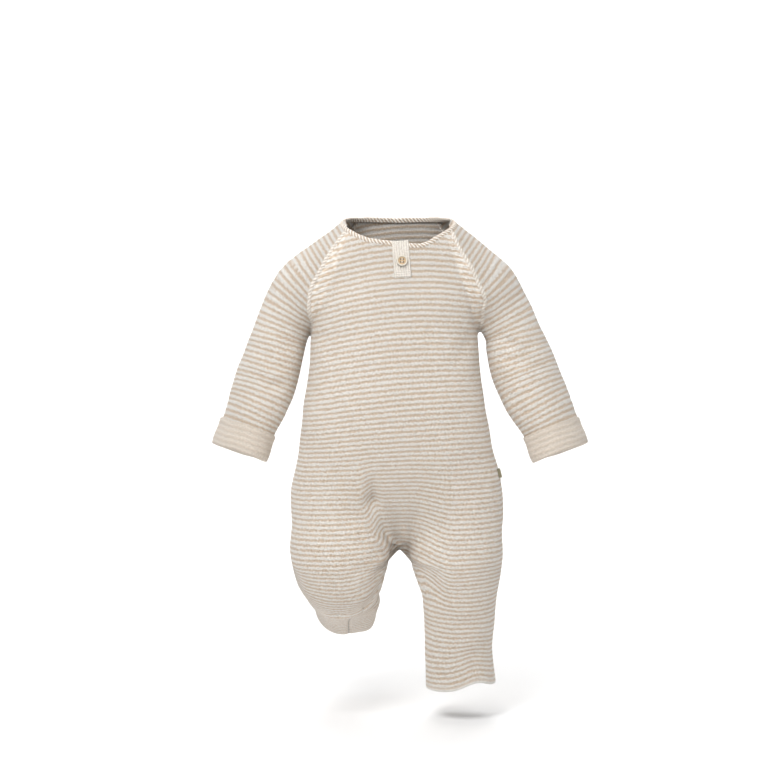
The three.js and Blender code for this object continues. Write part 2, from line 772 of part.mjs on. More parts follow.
// The tab of the neck fastening lies on the front and on the neckband.
const PLACKET = { x: 1, topZ: -17.2, width: 18.5, length: 36.2, tilt: 4.5, gap: 0.6, thick: 2 };
const faceTriangles = [];
for (const name of ["front", "neckband"]) {
  const mesh = group.getObjectByName(name);
  const soup = mesh.geometry.toNonIndexed().getAttribute("position");
  for (let i = 0; i < soup.count; i += 3) {
    const corner = (k) => vec(0, 0, 0).fromBufferAttribute(soup, i + k);
    faceTriangles.push(new THREE.Triangle(corner(0), corner(1), corner(2)));
  }
}

// The front-most point of the front at x and z, seen along +Y, with its normal.
function frontPoint(x, z) {
  const ray = new THREE.Ray(vec(x, -300, z), vec(0, 1, 0));
  let best = null;
  for (const { a, b, c } of faceTriangles) {
    if (Math.max(a.x, b.x, c.x) < x || Math.min(a.x, b.x, c.x) > x) continue;
    const hit = ray.intersectTriangle(a, b, c, false, vec(0, 0, 0));
    if (hit && (!best || hit.y < best.y)) best = hit;
  }
  return best;
}

function tabSections() {
  const tilt = rad(PLACKET.tilt);
  const across = vec(Math.cos(tilt), 0, Math.sin(tilt));
  const down = vec(Math.sin(tilt), 0, -Math.cos(tilt));
  const [rows, columns] = [16, 6];
  const at = (u, v) => {
    const place = vec(PLACKET.x, 0, PLACKET.topZ)
      .addScaledVector(across, u * PLACKET.width)
      .addScaledVector(down, v * PLACKET.length);
    const p = frontPoint(place.x, place.z);
    return { p, n: formNormal(settle(p)) };
  };
  return range(rows + 1).map((i) => {
    const row = spread(-0.5, 0.5, columns, (u) => at(u, i / rows));
    const lift = (height) => ({ p, n }) => p.clone().addScaledVector(n, height);
    const base = row.map(lift(PLACKET.gap));
    const top = row.map(lift(PLACKET.gap + PLACKET.thick));
    return [...base, ...top.reverse()];
  });
}
const tab = tabSections();
addMesh("placket", sweep(tab, false), TRIM);

// The button: a dished disc with a raised rim and four holes.
const BUTTON = { x: 3, z: -35, radius: 6.1, thick: 2.6, dish: 4.4, sunk: 0.8 };
const HOLE = { radius: 0.75, spacing: 3.1 };
const wasm = await Module();
wasm.setup();

function toSolid(geometry) {
  const bare = geometry.clone();
  bare.deleteAttribute("normal");
  bare.deleteAttribute("uv");
  const merged = mergeVertices(bare, 1e-4);
  const mesh = new wasm.Mesh({
    numProp: 3,
    vertProperties: merged.getAttribute("position").array,
    triVerts: new Uint32Array(merged.getIndex().array),
  });
  return new wasm.Manifold(mesh);
}

function fromSolid(solid) {
  const mesh = solid.getMesh();
  const geometry = new THREE.BufferGeometry();
  geometry.setAttribute("position", new THREE.BufferAttribute(mesh.vertProperties, 3));
  geometry.setIndex(new THREE.BufferAttribute(mesh.triVerts, 1));
  return geometry;
}

function buttonGeometry() {
  const { radius, thick, dish, sunk } = BUTTON;
  const profile = [
    [0, 0],
    [radius - 1.2, 0],
    [radius, 0.9],
    [radius, thick - 0.8],
    [radius - 0.7, thick],
    [dish + 0.3, thick],
    [dish - 0.6, thick - sunk],
    [0, thick - sunk],
  ].map(([r, y]) => new THREE.Vector2(r, y));
  let solid = toSolid(new THREE.LatheGeometry(profile, 28));
  const offsets = [-HOLE.spacing / 2, HOLE.spacing / 2];
  for (const x of offsets) {
    for (const z of offsets) {
      const drill = new THREE.CylinderGeometry(HOLE.radius, HOLE.radius, 3 * thick, 12);
      solid = solid.subtract(toSolid(drill.translate(x, 0, z)));
    }
  }
  return fromSolid(solid);
}

const seat = frontPoint(BUTTON.x, BUTTON.z);
const seatNormal = formNormal(settle(seat));
const button = addMesh("button", buttonGeometry(), WOOD);
const lift = PLACKET.gap + PLACKET.thick + 0.45;
button.position.copy(seat).addScaledVector(seatNormal, lift);
button.quaternion.setFromUnitVectors(vec(0, 1, 0), seatNormal);

// A blank folded tape that stands out of the left side seam.
const LABEL = { z: -268, long: 10, out: 3, thick: 0.9, gap: 0.45 };
function labelGeometry() {
  const seam = panels.front.torso.map((row) => row.at(-1));
  const above = seam.findLastIndex(({ p }) => p.z > LABEL.z);
  const [a, b] = [seam[above], seam[above + 1]];
  const down = b.p.clone().sub(a.p);
  const out = a.n.clone().add(b.n).normalize();
  const across = vec(0, 0, 0).crossVectors(out, down).setLength(LABEL.thick / 2);
  const middle = (LABEL.z - a.p.z) / down.z;
  const half = LABEL.long / 2 / down.length();
  return [middle - half, middle + half].map((t) => {
    const p = a.p.clone().addScaledVector(down, t);
    const at = (reach, side) =>
      p.clone().addScaledVector(out, reach).addScaledVector(across, side);
    const tip = LABEL.gap + LABEL.out;
    return [at(LABEL.gap, -1), at(tip, -1), at(tip, 1), at(LABEL.gap, 1)];
  });
}
addMesh("side_label", sweep(labelGeometry(), false), TAPE);

export default group;
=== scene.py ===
"""A baby's knitted romper as it is worn: fine stripes, raglan sleeves, turned-back cuffs.

The cloth is rebuilt finely on the same body form as the CAD solids: a torso and four limbs
given by tables of sections in millimetres and blended together.
"""

import math

import bmesh
import bpy
import numpy as np
from mathutils import Matrix, Vector
from mathutils.geometry import delaunay_2d_cdt


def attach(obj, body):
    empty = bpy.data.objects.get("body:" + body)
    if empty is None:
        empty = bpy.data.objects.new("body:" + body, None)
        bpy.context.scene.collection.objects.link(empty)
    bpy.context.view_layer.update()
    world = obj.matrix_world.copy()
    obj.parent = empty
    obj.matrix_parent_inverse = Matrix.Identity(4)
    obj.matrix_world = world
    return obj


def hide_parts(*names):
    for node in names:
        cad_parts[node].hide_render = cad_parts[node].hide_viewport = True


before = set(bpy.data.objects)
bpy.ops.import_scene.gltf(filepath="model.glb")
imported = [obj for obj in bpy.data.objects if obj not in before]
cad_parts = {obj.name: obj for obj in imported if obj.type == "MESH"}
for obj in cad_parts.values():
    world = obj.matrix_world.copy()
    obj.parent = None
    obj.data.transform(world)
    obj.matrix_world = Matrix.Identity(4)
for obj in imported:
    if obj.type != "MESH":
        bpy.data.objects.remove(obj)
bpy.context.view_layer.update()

MM = 0.001
TWO_PI = 2 * math.pi
HALF_COLUMNS = 28  # over half of the body or half of a leg, before the last refining
RAGLAN_ROWS = 28
BODY_ROWS = 38
HIP_ROWS = 20
LEG_ROWS = {"right": 36, "left": 32}
SLEEVE_COLUMNS = 48
SLEEVE_ROWS = 36
HEM_ROLL = 1.5  # radius of the rolled edge at a hem
STRIPES = 6.0  # one beige and one cream stripe together
STITCH_WIDTH = 1.6

# Torso sections: height, centre x and y, half the width, half the depth.
TORSO = np.array([
    [-351, 1, 12, 20, 8],
    [-344, 1, 12, 48, 22],
    [-332, 0, 14, 80, 42],
    [-317, -2, 13, 99, 56],
    [-295, -4, 8, 109, 66],
    [-265, -4, 1, 107, 70],
    [-232, -4, -4, 105, 70],
    [-195, -5, -6, 100, 68],
    [-155, -5, -4, 94, 65],
    [-111, -5, -1, 91, 63],
    [-78, -3, 1, 88, 60],
    [-45, -2, 4, 78, 54],
    [-20, -1, 6, 66, 49],
    [5, -1, 9, 54, 43],
    [30, -1, 12, 44, 34],
], float)
TORSO_SQUARENESS = 2.3

# Limb sections: a point of the axis, and the radius of the cloth round it.
ARM_SECTIONS = {
    "right": [
        [-48, 4, -32, 40],
        [-75, 4, -50, 39],
        [-97, 4, -65, 38.5],
        [-116, 4, -85, 33],
        [-129, 3, -111, 30],
        [-136.5, 1, -135, 32],
        [-146, -2, -166, 34],
        [-154, -6, -189, 33],
        [-164, -10, -213, 30],
        [-176, -15, -247, 28.5],
    ],
    "left": [
        [47, 4, -32, 40],
        [73, 4, -51, 39],
        [94, 4, -66, 37],
        [111, 4, -87, 32],
        [124, 3, -111, 30.5],
        [131, 1, -135, 34.5],
        [139, -1, -158, 36.5],
        [148, -5, -180, 36],
        [165, -10, -213, 31.5],
        [178, -15, -247, 29],
    ],
}
LEG_SECTIONS = {
    "right": [
        [-60, 2, -285, 50],
        [-64, -2, -320, 53.5],
        [-65, -8, -350, 55],
        [-65, -9, -373, 50],
        [-64, 10, -388, 45],
        [-64, 42, -398, 40],
        [-64, 78, -417, 35],
        [-64, 112, -437, 32.5],
    ],
    "left": [
        [58, 2, -285, 50],
        [62, 0, -320, 52],
        [63, -2, -350, 52],
        [65, -3, -372, 48],
        [67, -3, -395, 42.5],
        [67, 0, -425, 39.5],
        [66, 3, -465, 37.5],
        [69, 4, -503, 39],
    ],
}
# Fillets between limb and torso: the wide one above, the narrow one where the gap opens,
# and the two heights between which the first passes into the second.
ARM_BLEND = (16, 2.5, -80, -106)
LEG_BLEND = (20, 5, -322, -352)

# Where the seams run.
NECK = {"x": -1, "y": 4, "half": 53, "depth": 45}
# The neckline dips a little left of the middle of the front.
NECK_DIP = {"angle": 24, "spread": 25, "depth": 4.5}
# Height of the neck seam by the angle round the neck from the front.
NECK_LINE = np.array([
    [0, -16],
    [20, -15.6],
    [35, -14],
    [50, -10],
    [66, -4],
    [80, 3],
    [95, 8],
    [115, 9],
    [140, 8.5],
    [180, 7.5],
], float)
RAGLAN_NECK_ANGLE = {"front": 70, "back": 128}
RAGLANS = {
    ("right", "front"): [[-78, -33, -27], [-88, -36, -48], [-96, -35, -65], [-98, -29, -83],
                         [-96, -14, -102]],
    ("right", "back"): [[-68, 50, -14], [-86, 56, -42], [-96, 50, -66], [-98, 36, -86],
                        [-97, 16, -102]],
    ("left", "front"): [[69, -33, -23], [80, -36, -43], [88, -36, -62], [93.5, -31, -77],
                        [92, -16, -95]],
    ("left", "back"): [[65, 50, -14], [82, 56, -42], [91, 50, -66], [94, 36, -86],
                       [93, 16, -102]],
}
# Points in the gaps below the armpits and the crotch: x, y, z and the lean of the way up.
BELOW_ARMPIT = {"right": (-101, 4, -138, 0.14), "left": (91.5, 4, -137, -0.05)}
BELOW_CROTCH = (1, 8, -400, 0)
SIDE_SEAM_ANGLE = {"right": 91, "left": 84}
LEG_TWIST = {"right": math.radians(78), "left": 0.0}
CROTCH_SIDE_Z = -366
HIP_Z = -288
SIDES = ("right", "left")
OUT = {"right": np.array([-1.0, 0, 0]), "left": np.array([1.0, 0, 0])}

# Courses of the knit on the torso, by their height at the centre: how much they tilt
# across the body, and how far their ends hang below the middle 82 mm away.
COURSES = np.array([
    [-330, 0.035, 0.5],
    [-290, 0.04, 1.0],
    [-250, 0.05, 2.0],
    [-215, 0.075, 3.0],
    [-185, 0.087, 4.0],
    [-130, 0.08, 7.0],
    [-80, 0.074, 10.0],
    [-20, 0.07, 11.0],
    [20, 0.07, 11.0],
])

# Folds of the worn cloth: two ends, width and depth (below 0 a trough, above 0 a ridge).
FOLDS = np.array([
    # the deep fold from the belly to the crotch, and its soft neighbours
    [-34, -57, -258, -30, -62, -300, 9, -4],
    [-30, -62, -300, -22, -60, -330, 9, -5],
    [-22, -60, -330, -6, -30, -348, 8, -4.5],
    [-46, -58, -268, -40, -62, -322, 10, 3],
    [18, -45, -345, 48, -58, -322, 9, -3],
    # hem and elbow creases
    [46, -34, -474, 90, -32, -470, 8, -2.5],
    [-150, -32, -160, -120, -34, -176, 9, -3],
    [120, -32, -128, 150, -30, -150, 9, -3],
    # the armpits
    [92, -32, -82, 92, -20, -98, 8, -3.5],
    [96, -36, -108, 108, -36, -120, 8, -3],
    [-100, -30, -118, -122, -32, -128, 8, -2.5],
    # behind, from the seat to the crotch
    [-40, 66, -262, -8, 58, -330, 11, -4],
    [44, 66, -272, 16, 58, -334, 11, -4],
    # knee edge, crease below it, its outer end, and the inner corner of the hem
    [-96, -34, -390, -36, -40, -402, 9, 3],
    [-100, -8, -403, -66, -14, -422, 8, -4.5],
    [-66, -14, -422, -34, -12, -414, 8, -4],
    [-110, 18, -388, -103, -4, -402, 9, -6],
    [-34, 55, -420, -36, 104, -456, 13, 9],
])
# Finer creases, in the same columns, that only the dressed cloth has.
CREASES = np.array([
    # the right sleeve, then the left
    [-104, -28, -138, -128, -33, -152, 5, -2.2],
    [-110, -30, -163, -140, -34, -172, 5, -2],
    [-152, -32, -128, -138, -34, -150, 6, -1.8],
    [-162, -34, -176, -136, -37, -192, 5, -1.8],
    [-118, -34, -186, -136, -38, -204, 6, -2],
    [-100, -30, -104, -112, -31, -116, 5, -2],
    [100, -29, -112, 124, -32, -124, 5, -2.4],
    [102, -28, -136, 130, -33, -146, 5, -2.2],
    [148, -32, -118, 134, -33, -140, 6, -1.6],
    [152, -33, -168, 126, -36, -186, 5, -2],
    [112, -34, -176, 132, -38, -200, 6, -2],
    # the body: armpits, waist, crotch and thighs
    [84, -36, -110, 62, -52, -142, 7, -1.8],
    [-90, -34, -112, -70, -50, -140, 7, -1.4],
    [-70, -52, -196, -90, -44, -252, 10, -1.6],
    [60, -56, -214, 88, -44, -262, 10, -1.5],
    [-32, -60, -276, -30, -62, -300, 6, -3],
    [-30, -62, -296, -19, -58, -334, 6, -5],
    [-19, -58, -334, -5, -32, -350, 5, -4],
    [12, -44, -350, 54, -54, -394, 7, -2.2],
    [14, -52, -338, 76, -52, -352, 7, -1.5],
    [-14, -46, -352, -54, -58, -374, 7, -2],
    [-84, -46, -330, -50, -60, -338, 9, -1.5],
    [34, -36, -420, 80, -38, -432, 7, -1.4],
    [36, -33, -492, 92, -30, -484, 6, -2],
])

LEG_COURSES = 1.09  # courses on the legs lie this much closer than on the chest
RING_LEAD = {"right": 2.0, "left": 3.0}
LEG_EASE = {"right": 60.0, "left": 75.0}  # mm below the crotch in which courses level out

CUFF_START = 0.985
CUFF_HEIGHT = 27
CUFF_PROUD = 3.4  # of the sleeve, at the cuff's outer face

# Across the seam, and out from it.
RIDGE = [(-2.7, -1.4), (-2.1, -0.4), (-1.3, 0.4), (-0.5, 0.7), (0.5, 0.7), (1.3, 0.4),
         (2.1, -0.4), (2.7, -1.4)]
# Up from the neck seam, and out from it.
BAND = [(-0.8, -0.4), (0.1, 0.7), (1.2, 1.2), (2.5, 1.3), (3.7, 0.95), (4.5, 0.1),
        (4.6, -1.0), (4.1, -1.9), (2.9, -2.3), (1.2, -2.3), (-0.4, -2.1)]

TAB = {"x": 1.0, "top": -13.0, "width": 18.4, "length": 39.6, "tilt": 4.5, "out": 2.0}
TAB_RIB = 2.65
TAB_TURNED = 0.81  # below this share of its length the rib gives way to a turned end

BUTTON = {"x": 3.04, "z": -35.0, "out": 2.75}
BUTTON_RIM = [(5.5, 0.0), (5.95, 0.4), (6.1, 1.1), (5.95, 1.9), (5.6, 2.4), (5.15, 2.6),
              (4.75, 2.45), (4.5, 2.05), (4.35, 1.75), (4.2, 1.7)]
HOLE_RADIUS = 0.85
HOLE_SPACING = 3.1
HOLE_FLOOR = 0.1
RIM_STEPS = 72
HOLE_STEPS = 20
THREAD_RADIUS = 0.2

LABEL = {"z": -268.0, "long": 10.0, "out": 3.2, "half": 0.4}

BEIGE_DEEP = (0.56, 0.42, 0.30)
BEIGE_LIGHT = (0.75, 0.62, 0.49)
CREAM_DEEP = (0.78, 0.735, 0.675)
CREAM_LIGHT = (0.87, 0.835, 0.785)
TRIM_DEEP = (0.84, 0.77, 0.68)
TRIM_LIGHT = (0.93, 0.885, 0.82)
REVERSE_DEEP = (0.735, 0.635, 0.53)
REVERSE_LIGHT = (0.80, 0.715, 0.62)

HALF_PANEL = 116.0  # mm of cloth across half a panel, and round a sleeve
SLEEVE_GIRTH = 205.0
HEM_INSIDE = 9.0  # how far the cloth runs up inside a leg's hem
HEM_SWAY_RISE = 34.0
FIRST_ARM_RING_Z = -98

# Area lights: name, place, what it is aimed at, size in m and power in W.
LIGHTS = [
    ("key", (-0.45, -1.0, 0.95), (0, 0, -0.05), 0.8, 19),
    ("fill", (1.2, -1.1, 0.7), (0, 0, -0.1), 1.2, 5),
    ("top", (0, 0.2, 1.2), (0, 0, -0.2), 1.0, 5),
    ("backdrop", (0, 1.3, 1.5), (0, 2.2, 0.1), 1.6, 30),
]
WORLD_LIGHT = 0.4
FLOOR = {"level": -0.541, "back": 2.2, "bend": 0.9, "front": -3.0, "top": 3.5, "half": 4.0}
FLOOR_COLOUR = (0.94, 0.94, 0.94)
CAMERA = {"aim": (-0.0099, 0, -0.177), "away": 2.6, "tilt": 4, "lens": 109, "sensor": 36}


def smoothstep(x, a, b):
    t = np.clip((x - a) / (b - a), 0, 1)
    return t * t * (3 - 2 * t)


def unit(v):
    return v / np.maximum(np.linalg.norm(v, axis=-1, keepdims=True), 1e-9)


def read_table(table, at):
    """Smooth reading of a table whose first column rises."""
    x = table[:, 0]
    last = len(x) - 1
    i = np.clip(np.searchsorted(x, at, side="left") - 1, 0, last - 1)
    span = x[i + 1] - x[i]
    t = np.clip((at - x[i]) / span, 0, 1)

    def slope(k):
        a, b = np.maximum(k - 1, 0), np.minimum(k + 1, last)
        return (table[b] - table[a]) / (x[b] - x[a])[:, None]

    t, span = t[:, None], span[:, None]
    h, g = t * t * (3 - 2 * t), t * (1 - t)
    bend = span * g * ((1 - t) * slope(i) - t * slope(i + 1))
    return table[i] * (1 - h) + table[i + 1] * h + bend


def catmull_rom(points, t):
    """Centripetal Catmull-Rom curve through points, at t from 0 to 1."""
    p = np.asarray(points, float)
    p = np.vstack([2 * p[0] - p[1], p, 2 * p[-1] - p[-2]])
    at = np.clip(np.asarray(t, float), 0, 1) * (len(p) - 3)
    i = np.minimum(at.astype(int), len(p) - 4)
    w = (at - i)[:, None]
    a, b, c, d = p[i], p[i + 1], p[i + 2], p[i + 3]

    def root(u, v):
        return np.sqrt(np.linalg.norm(v - u, axis=1))[:, None]

    d0, d1, d2 = root(a, b), root(b, c), root(c, d)
    d1 = np.where(d1 < 1e-4, 1, d1)
    d0 = np.where(d0 < 1e-4, d1, d0)
    d2 = np.where(d2 < 1e-4, d1, d2)
    t1 = ((b - a) / d0 - (c - a) / (d0 + d1) + (c - b) / d1) * d1
    t2 = ((c - b) / d1 - (d - b) / (d1 + d2) + (d - c) / d2) * d1
    return (b + t1 * w + (-3 * b + 3 * c - 2 * t1 - t2) * w**2
            + (2 * b - 2 * c + t1 + t2) * w**3)


def spaced(points, count):
    """count + 1 points spread evenly along a curve through points."""
    fine = catmull_rom(points, np.linspace(0, 1, 400))
    run = np.concatenate([[0], np.cumsum(np.linalg.norm(np.diff(fine, axis=0), axis=1))])
    at = np.linspace(0, run[-1], count + 1)
    return np.stack([np.interp(at, run, fine[:, k]) for k in range(3)], axis=1)


class Limb:
    """A limb as a chain of short segments along a smooth curve through its sections."""

    STEPS = 28

    def __init__(self, sections):
        s = np.array(sections, float)
        self.points, self.radii = s[:, :3], s[:, 3]
        t = np.linspace(0, 1, self.STEPS + 1)
        self.centres, self.rounds = self.at(t)
        self.run = np.diff(self.centres, axis=0)
        self.squared = (self.run**2).sum(1)
        self.lengths = np.concatenate([[0], np.cumsum(np.sqrt(self.squared))])

    def at(self, t):
        t = np.atleast_1d(t)
        wide = np.stack([self.radii, 0 * self.radii, 0 * self.radii], axis=1)
        return catmull_rom(self.points, t), catmull_rom(wide, t)[:, 0]

    def tangent(self, t):
        e = 1e-4
        low, high = max(t - e, 0), min(t + e, 1)
        ends = catmull_rom(self.points, [low, high])
        return unit(ends[1] - ends[0])

    def at_height(self, z):
        low, high = 0.0, 1.0
        for _ in range(30):
            middle = (low + high) / 2
            if catmull_rom(self.points, [middle])[0, 2] > z:
                low = middle
            else:
                high = middle
        return (low + high) / 2

    def segments(self, p, before=0.0):
        """For each segment: its number, how far along it each point lies, and how far off."""
        for i in range(self.STEPS):
            d = p - self.centres[i]
            low = before if i == 0 else 0.0
            t = np.clip(d @ self.run[i] / self.squared[i], low, 1)
            yield i, t, np.linalg.norm(d - t[:, None] * self.run[i], axis=1)

    def distance(self, p):
        least = np.full(len(p), np.inf)
        for i, t, off in self.segments(p):
            radius = self.rounds[i] * (1 - t) + self.rounds[i + 1] * t
            least = np.minimum(least, off - radius)
        return least

    def along(self, p):
        """How far along the axis each point lies, past its start too."""
        best = np.full(len(p), np.inf)
        where = np.zeros(len(p))
        for i, t, off in self.segments(p, before=-9.0):
            closer = off < best
            best = np.where(closer, off, best)
            where = np.where(closer, self.lengths[i] + t * np.sqrt(self.squared[i]), where)
        return where


ARMS = {side: Limb(ARM_SECTIONS[side]) for side in SIDES}
LEGS = {side: Limb(LEG_SECTIONS[side]) for side in SIDES}


def torso_distance(p):
    s = read_table(TORSO, p[:, 2])
    n = TORSO_SQUARENESS
    across = np.abs(p[:, 0] - s[:, 1]) / s[:, 3]
    through = np.abs(p[:, 1] - s[:, 2]) / s[:, 4]
    reach = (across**n + through**n) ** (1 / n)
    below = np.maximum(0, TORSO[0, 0] - p[:, 2])
    return (reach - 1) * np.minimum(s[:, 3], s[:, 4]) + below


def smooth_min(a, b, width):
    h = np.maximum(width - np.abs(a - b), 0) / width
    return np.minimum(a, b) - h * h * width / 4


def form(p):
    """The body form: negative inside the cloth's outer face."""
    d = torso_distance(p)
    for limbs, blend in ((ARMS, ARM_BLEND), (LEGS, LEG_BLEND)):
        wide, narrow, start, end = blend
        share = smoothstep(-p[:, 2], -start, -end)
        width = wide * (1 - share) + narrow * share
        for side in SIDES:
            d = smooth_min(d, limbs[side].distance(p), width)
    return d


def form_normal(p):
    e = 0.4
    corners = np.array([[1, -1, -1], [-1, -1, 1], [-1, 1, -1], [1, 1, 1]], float)
    n = sum(c * form(p + e * c)[:, None] for c in corners)
    return unit(n)


def settle(seeds, rounds=6):
    p = np.array(seeds, float).reshape(-1, 3)
    for _ in range(rounds):
        p = p - form_normal(p) * np.clip(form(p), -9, 9)[:, None]
    return p.reshape(np.shape(seeds))


def torso_seed(angle, z):
    angle, z = np.broadcast_arrays(angle, z)
    s = read_table(TORSO, z.ravel()).reshape(*z.shape, 5)
    c, d = np.sin(angle), -np.cos(angle)
    n = TORSO_SQUARENESS
    reach = (np.abs(c / s[..., 3])**n + np.abs(d / s[..., 4])**n) ** (-1 / n)
    return np.stack([s[..., 1] + c * reach, s[..., 2] + d * reach, z], axis=-1)


def torso_angle(p):
    s = read_table(TORSO, np.atleast_1d(p[2]))[0]
    return math.atan2(p[0] - s[1], s[2] - p[1])


def neck_z(angle):
    """Height of the neck seam at an angle round the neck."""
    angle = np.atleast_1d(angle)
    from_front = np.degrees(np.arccos(np.cos(angle)))
    leftward = np.where(np.sin(angle) < 0, -from_front, from_front)
    off_dip = (leftward - NECK_DIP["angle"]) / NECK_DIP["spread"]
    dip = NECK_DIP["depth"] * np.exp(-off_dip**2)
    return read_table(NECK_LINE, from_front)[:, 1] - dip


def neck_seed(angle):
    x = NECK["x"] + NECK["half"] * np.sin(angle)
    y = NECK["y"] - NECK["depth"] * np.cos(angle)
    return np.stack([x, y, neck_z(angle)], axis=-1)


def settle_level(seeds, rounds=8):
    """As settle, but each point keeps its height."""
    p = np.array(seeds, float)
    for _ in range(rounds):
        n = form_normal(p)
        n[:, 2] = 0
        level = n / np.maximum((n**2).sum(axis=1, keepdims=True), 0.3)
        p = p - level * np.clip(form(p), -3, 3)[:, None]
    return p


def roof_above(x, y, z, lean):
    rise = 0.0
    while form(np.array([[x + rise * lean, y, z + rise]]))[0] > 0 and rise < 90:
        rise += 1
    return settle(np.array([[x + rise * lean, y, z + rise]]))[0]


ARMPIT = {side: roof_above(*BELOW_ARMPIT[side]) for side in SIDES}
CROTCH = roof_above(*BELOW_CROTCH)
RAGLAN = {}
for (side, face), knots in RAGLANS.items():
    turn = math.radians(RAGLAN_NECK_ANGLE[face]) * (1 if side == "left" else -1)
    first = settle_level(neck_seed(np.array([turn])))
    ends = np.vstack([first, settle(np.array(knots, float)), [ARMPIT[side]]])
    seam = settle(spaced(ends, RAGLAN_ROWS))
    seam[0], seam[-1] = first[0], ARMPIT[side]
    RAGLAN[side, face] = seam


def wind(angle, face):
    """Angles on the back run on past half a turn."""
    return angle + TWO_PI if face == "back" and angle < 0 else angle


def torso_grid(face, start, end):
    """Rows from the neck to the hip, each from one side to the other."""
    u = np.linspace(0, 1, 2 * HALF_COLUMNS + 1)
    edge = math.radians(RAGLAN_NECK_ANGLE[face])
    neck_turn = -edge + 2 * edge * u
    if face == "back":
        neck_turn = edge + 2 * (math.pi - edge) * u
    rows = []
    for k in range(RAGLAN_ROWS + 1):
        a, b = RAGLAN[start, face][k], RAGLAN[end, face][k]
        angles = [wind(torso_angle(point), face) for point in (a, b)]
        angle = angles[0] + (angles[1] - angles[0]) * u
        hole_shade = (1 - k / RAGLAN_ROWS) ** 2 * (neck_z(neck_turn) - neck_z(neck_turn[0]))
        z = a[2] + (b[2] - a[2]) * u + hole_shade
        row = settle_level(neck_seed(neck_turn)) if k == 0 else settle(torso_seed(angle, z))
        row[0], row[-1] = a, b
        rows.append(row)
    side_angles = []
    for side in (start, end):
        angle = math.radians(SIDE_SEAM_ANGLE[side]) * (-1 if side == "right" else 1)
        side_angles.append(wind(angle, face))
    under = [wind(torso_angle(ARMPIT[side]), face) for side in (start, end)]
    top = ARMPIT[start][2] + (ARMPIT[end][2] - ARMPIT[start][2]) * u
    for i in range(1, BODY_ROWS + 1):
        z = top + (HIP_Z - top) * i / BODY_ROWS
        share = smoothstep(top[0] - z[0], 0, 12)
        a = under[0] + (side_angles[0] - under[0]) * share
        b = under[1] + (side_angles[1] - under[1]) * share
        rows.append(settle(torso_seed(a + (b - a) * u, z)))
    return np.array(rows)


def leg_twist(side, t):
    """How far the bent leg's seams turn round towards its front."""
    return LEG_TWIST[side] * (0.7 * smoothstep(t, 0.37, 0.54) + 0.3 * smoothstep(t, 0.54, 0.85))


def leg_ring(side, face, t):
    limb = LEGS[side]
    centre, radius = limb.at(t)
    along = limb.tangent(t)
    across = unit(OUT[side] - along * (OUT[side] @ along))
    front = np.cross(across, along) * (1 if side == "right" else -1)
    turn = 1 if face == "front" else -1
    a = np.linspace(0, math.pi, HALF_COLUMNS + 1)[:, None] * turn - leg_twist(side, t)
    return centre[0] + radius[0] * (across * np.cos(a) + front * np.sin(a))


def leg_grid(side, face):
    """Rows from the crotch to the hem, each from the side seam to the inseam."""
    start = LEGS[side].at_height(CROTCH_SIDE_Z)
    steps = np.linspace(start, 1, LEG_ROWS[side] + 1)
    rows = settle(np.array([leg_ring(side, face, t) for t in steps]))
    pull = smoothstep(np.linspace(0, 1, HALF_COLUMNS + 1), 0.55, 1)[:, None]
    rows[0] = settle(rows[0] * (1 - pull) + CROTCH * pull)
    rows[0, -1] = CROTCH
    # The rings below the crotch ease from its shape into plain rings.
    for i in range(1, 6):
        ease = (1 - i / 6) ** 2
        rows[i] = settle(rows[i] + (rows[0] - settle(leg_ring(side, face, start))) * ease * 0.6)
    return rows


def refine(grid, axis):
    """Doubles a grid along one axis, by smooth interpolation."""
    g = np.moveaxis(grid, axis, 0)
    before = np.concatenate([2 * g[:1] - g[1:2], g[:-1]])
    after = np.concatenate([g[1:], 2 * g[-1:] - g[-2:-1]])
    middle = (9 * (g[:-1] + g[1:]) - before[:-1] - after[1:]) / 16
    out = np.empty((2 * len(g) - 1, *g.shape[1:]))
    out[0::2] = g
    out[1::2] = middle
    return np.moveaxis(out, 0, axis)


def body_halves(face):
    """The panel as two grids from neck to hem, each from its side seam to the centre."""
    start, end = ("right", "left") if face == "front" else ("left", "right")
    torso = torso_grid(face, start, end)
    legs = {side: leg_grid(side, face) for side in SIDES}
    crotch_row = np.concatenate([legs[start][0], legs[end][0][::-1][1:]])
    hip = torso[-1]
    share = (np.arange(1, HIP_ROWS) / HIP_ROWS)[:, None, None]
    torso = np.concatenate([torso, settle(hip * (1 - share) + crotch_row * share),
                            crotch_row[None]])
    torso = refine(torso, 1)
    middle = torso.shape[1] // 2
    halves = {}
    for side in (start, end):
        top = torso[:, : middle + 1] if side == start else torso[:, middle:][:, ::-1]
        halves[side] = refine(np.concatenate([top, refine(legs[side], 1)[1:]]), 0)
    rows = 2 * len(torso) - 1
    shared = (halves[start][:rows, -1] + halves[end][:rows, -1]) / 2
    halves[start][:rows, -1] = shared
    halves[end][:rows, -1] = shared
    return start, end, halves, rows


def course_at(p):
    """The height at the centre front of the course that each point lies on."""
    z0 = p[..., 2].copy()
    for _ in range(6):
        tilt = np.interp(z0, COURSES[:, 0], COURSES[:, 1])
        arch = np.interp(z0, COURSES[:, 0], COURSES[:, 2])
        bow = np.minimum((p[..., 0] / 82) ** 2, 1.6)
        z0 = p[..., 2] - tilt * p[..., 0] + arch * bow
    return z0


def crowding(z0):
    """Courses counted down the front: they lie closer from the belly down."""
    z = np.linspace(40, -400, 221)
    closer = 1 + 0.09 * smoothstep(-z, 130, 240)
    count = np.concatenate([[0], np.cumsum((closer[1:] + closer[:-1]) / 2 * 2.0)])
    return np.interp(-z0, -z, count) - 40


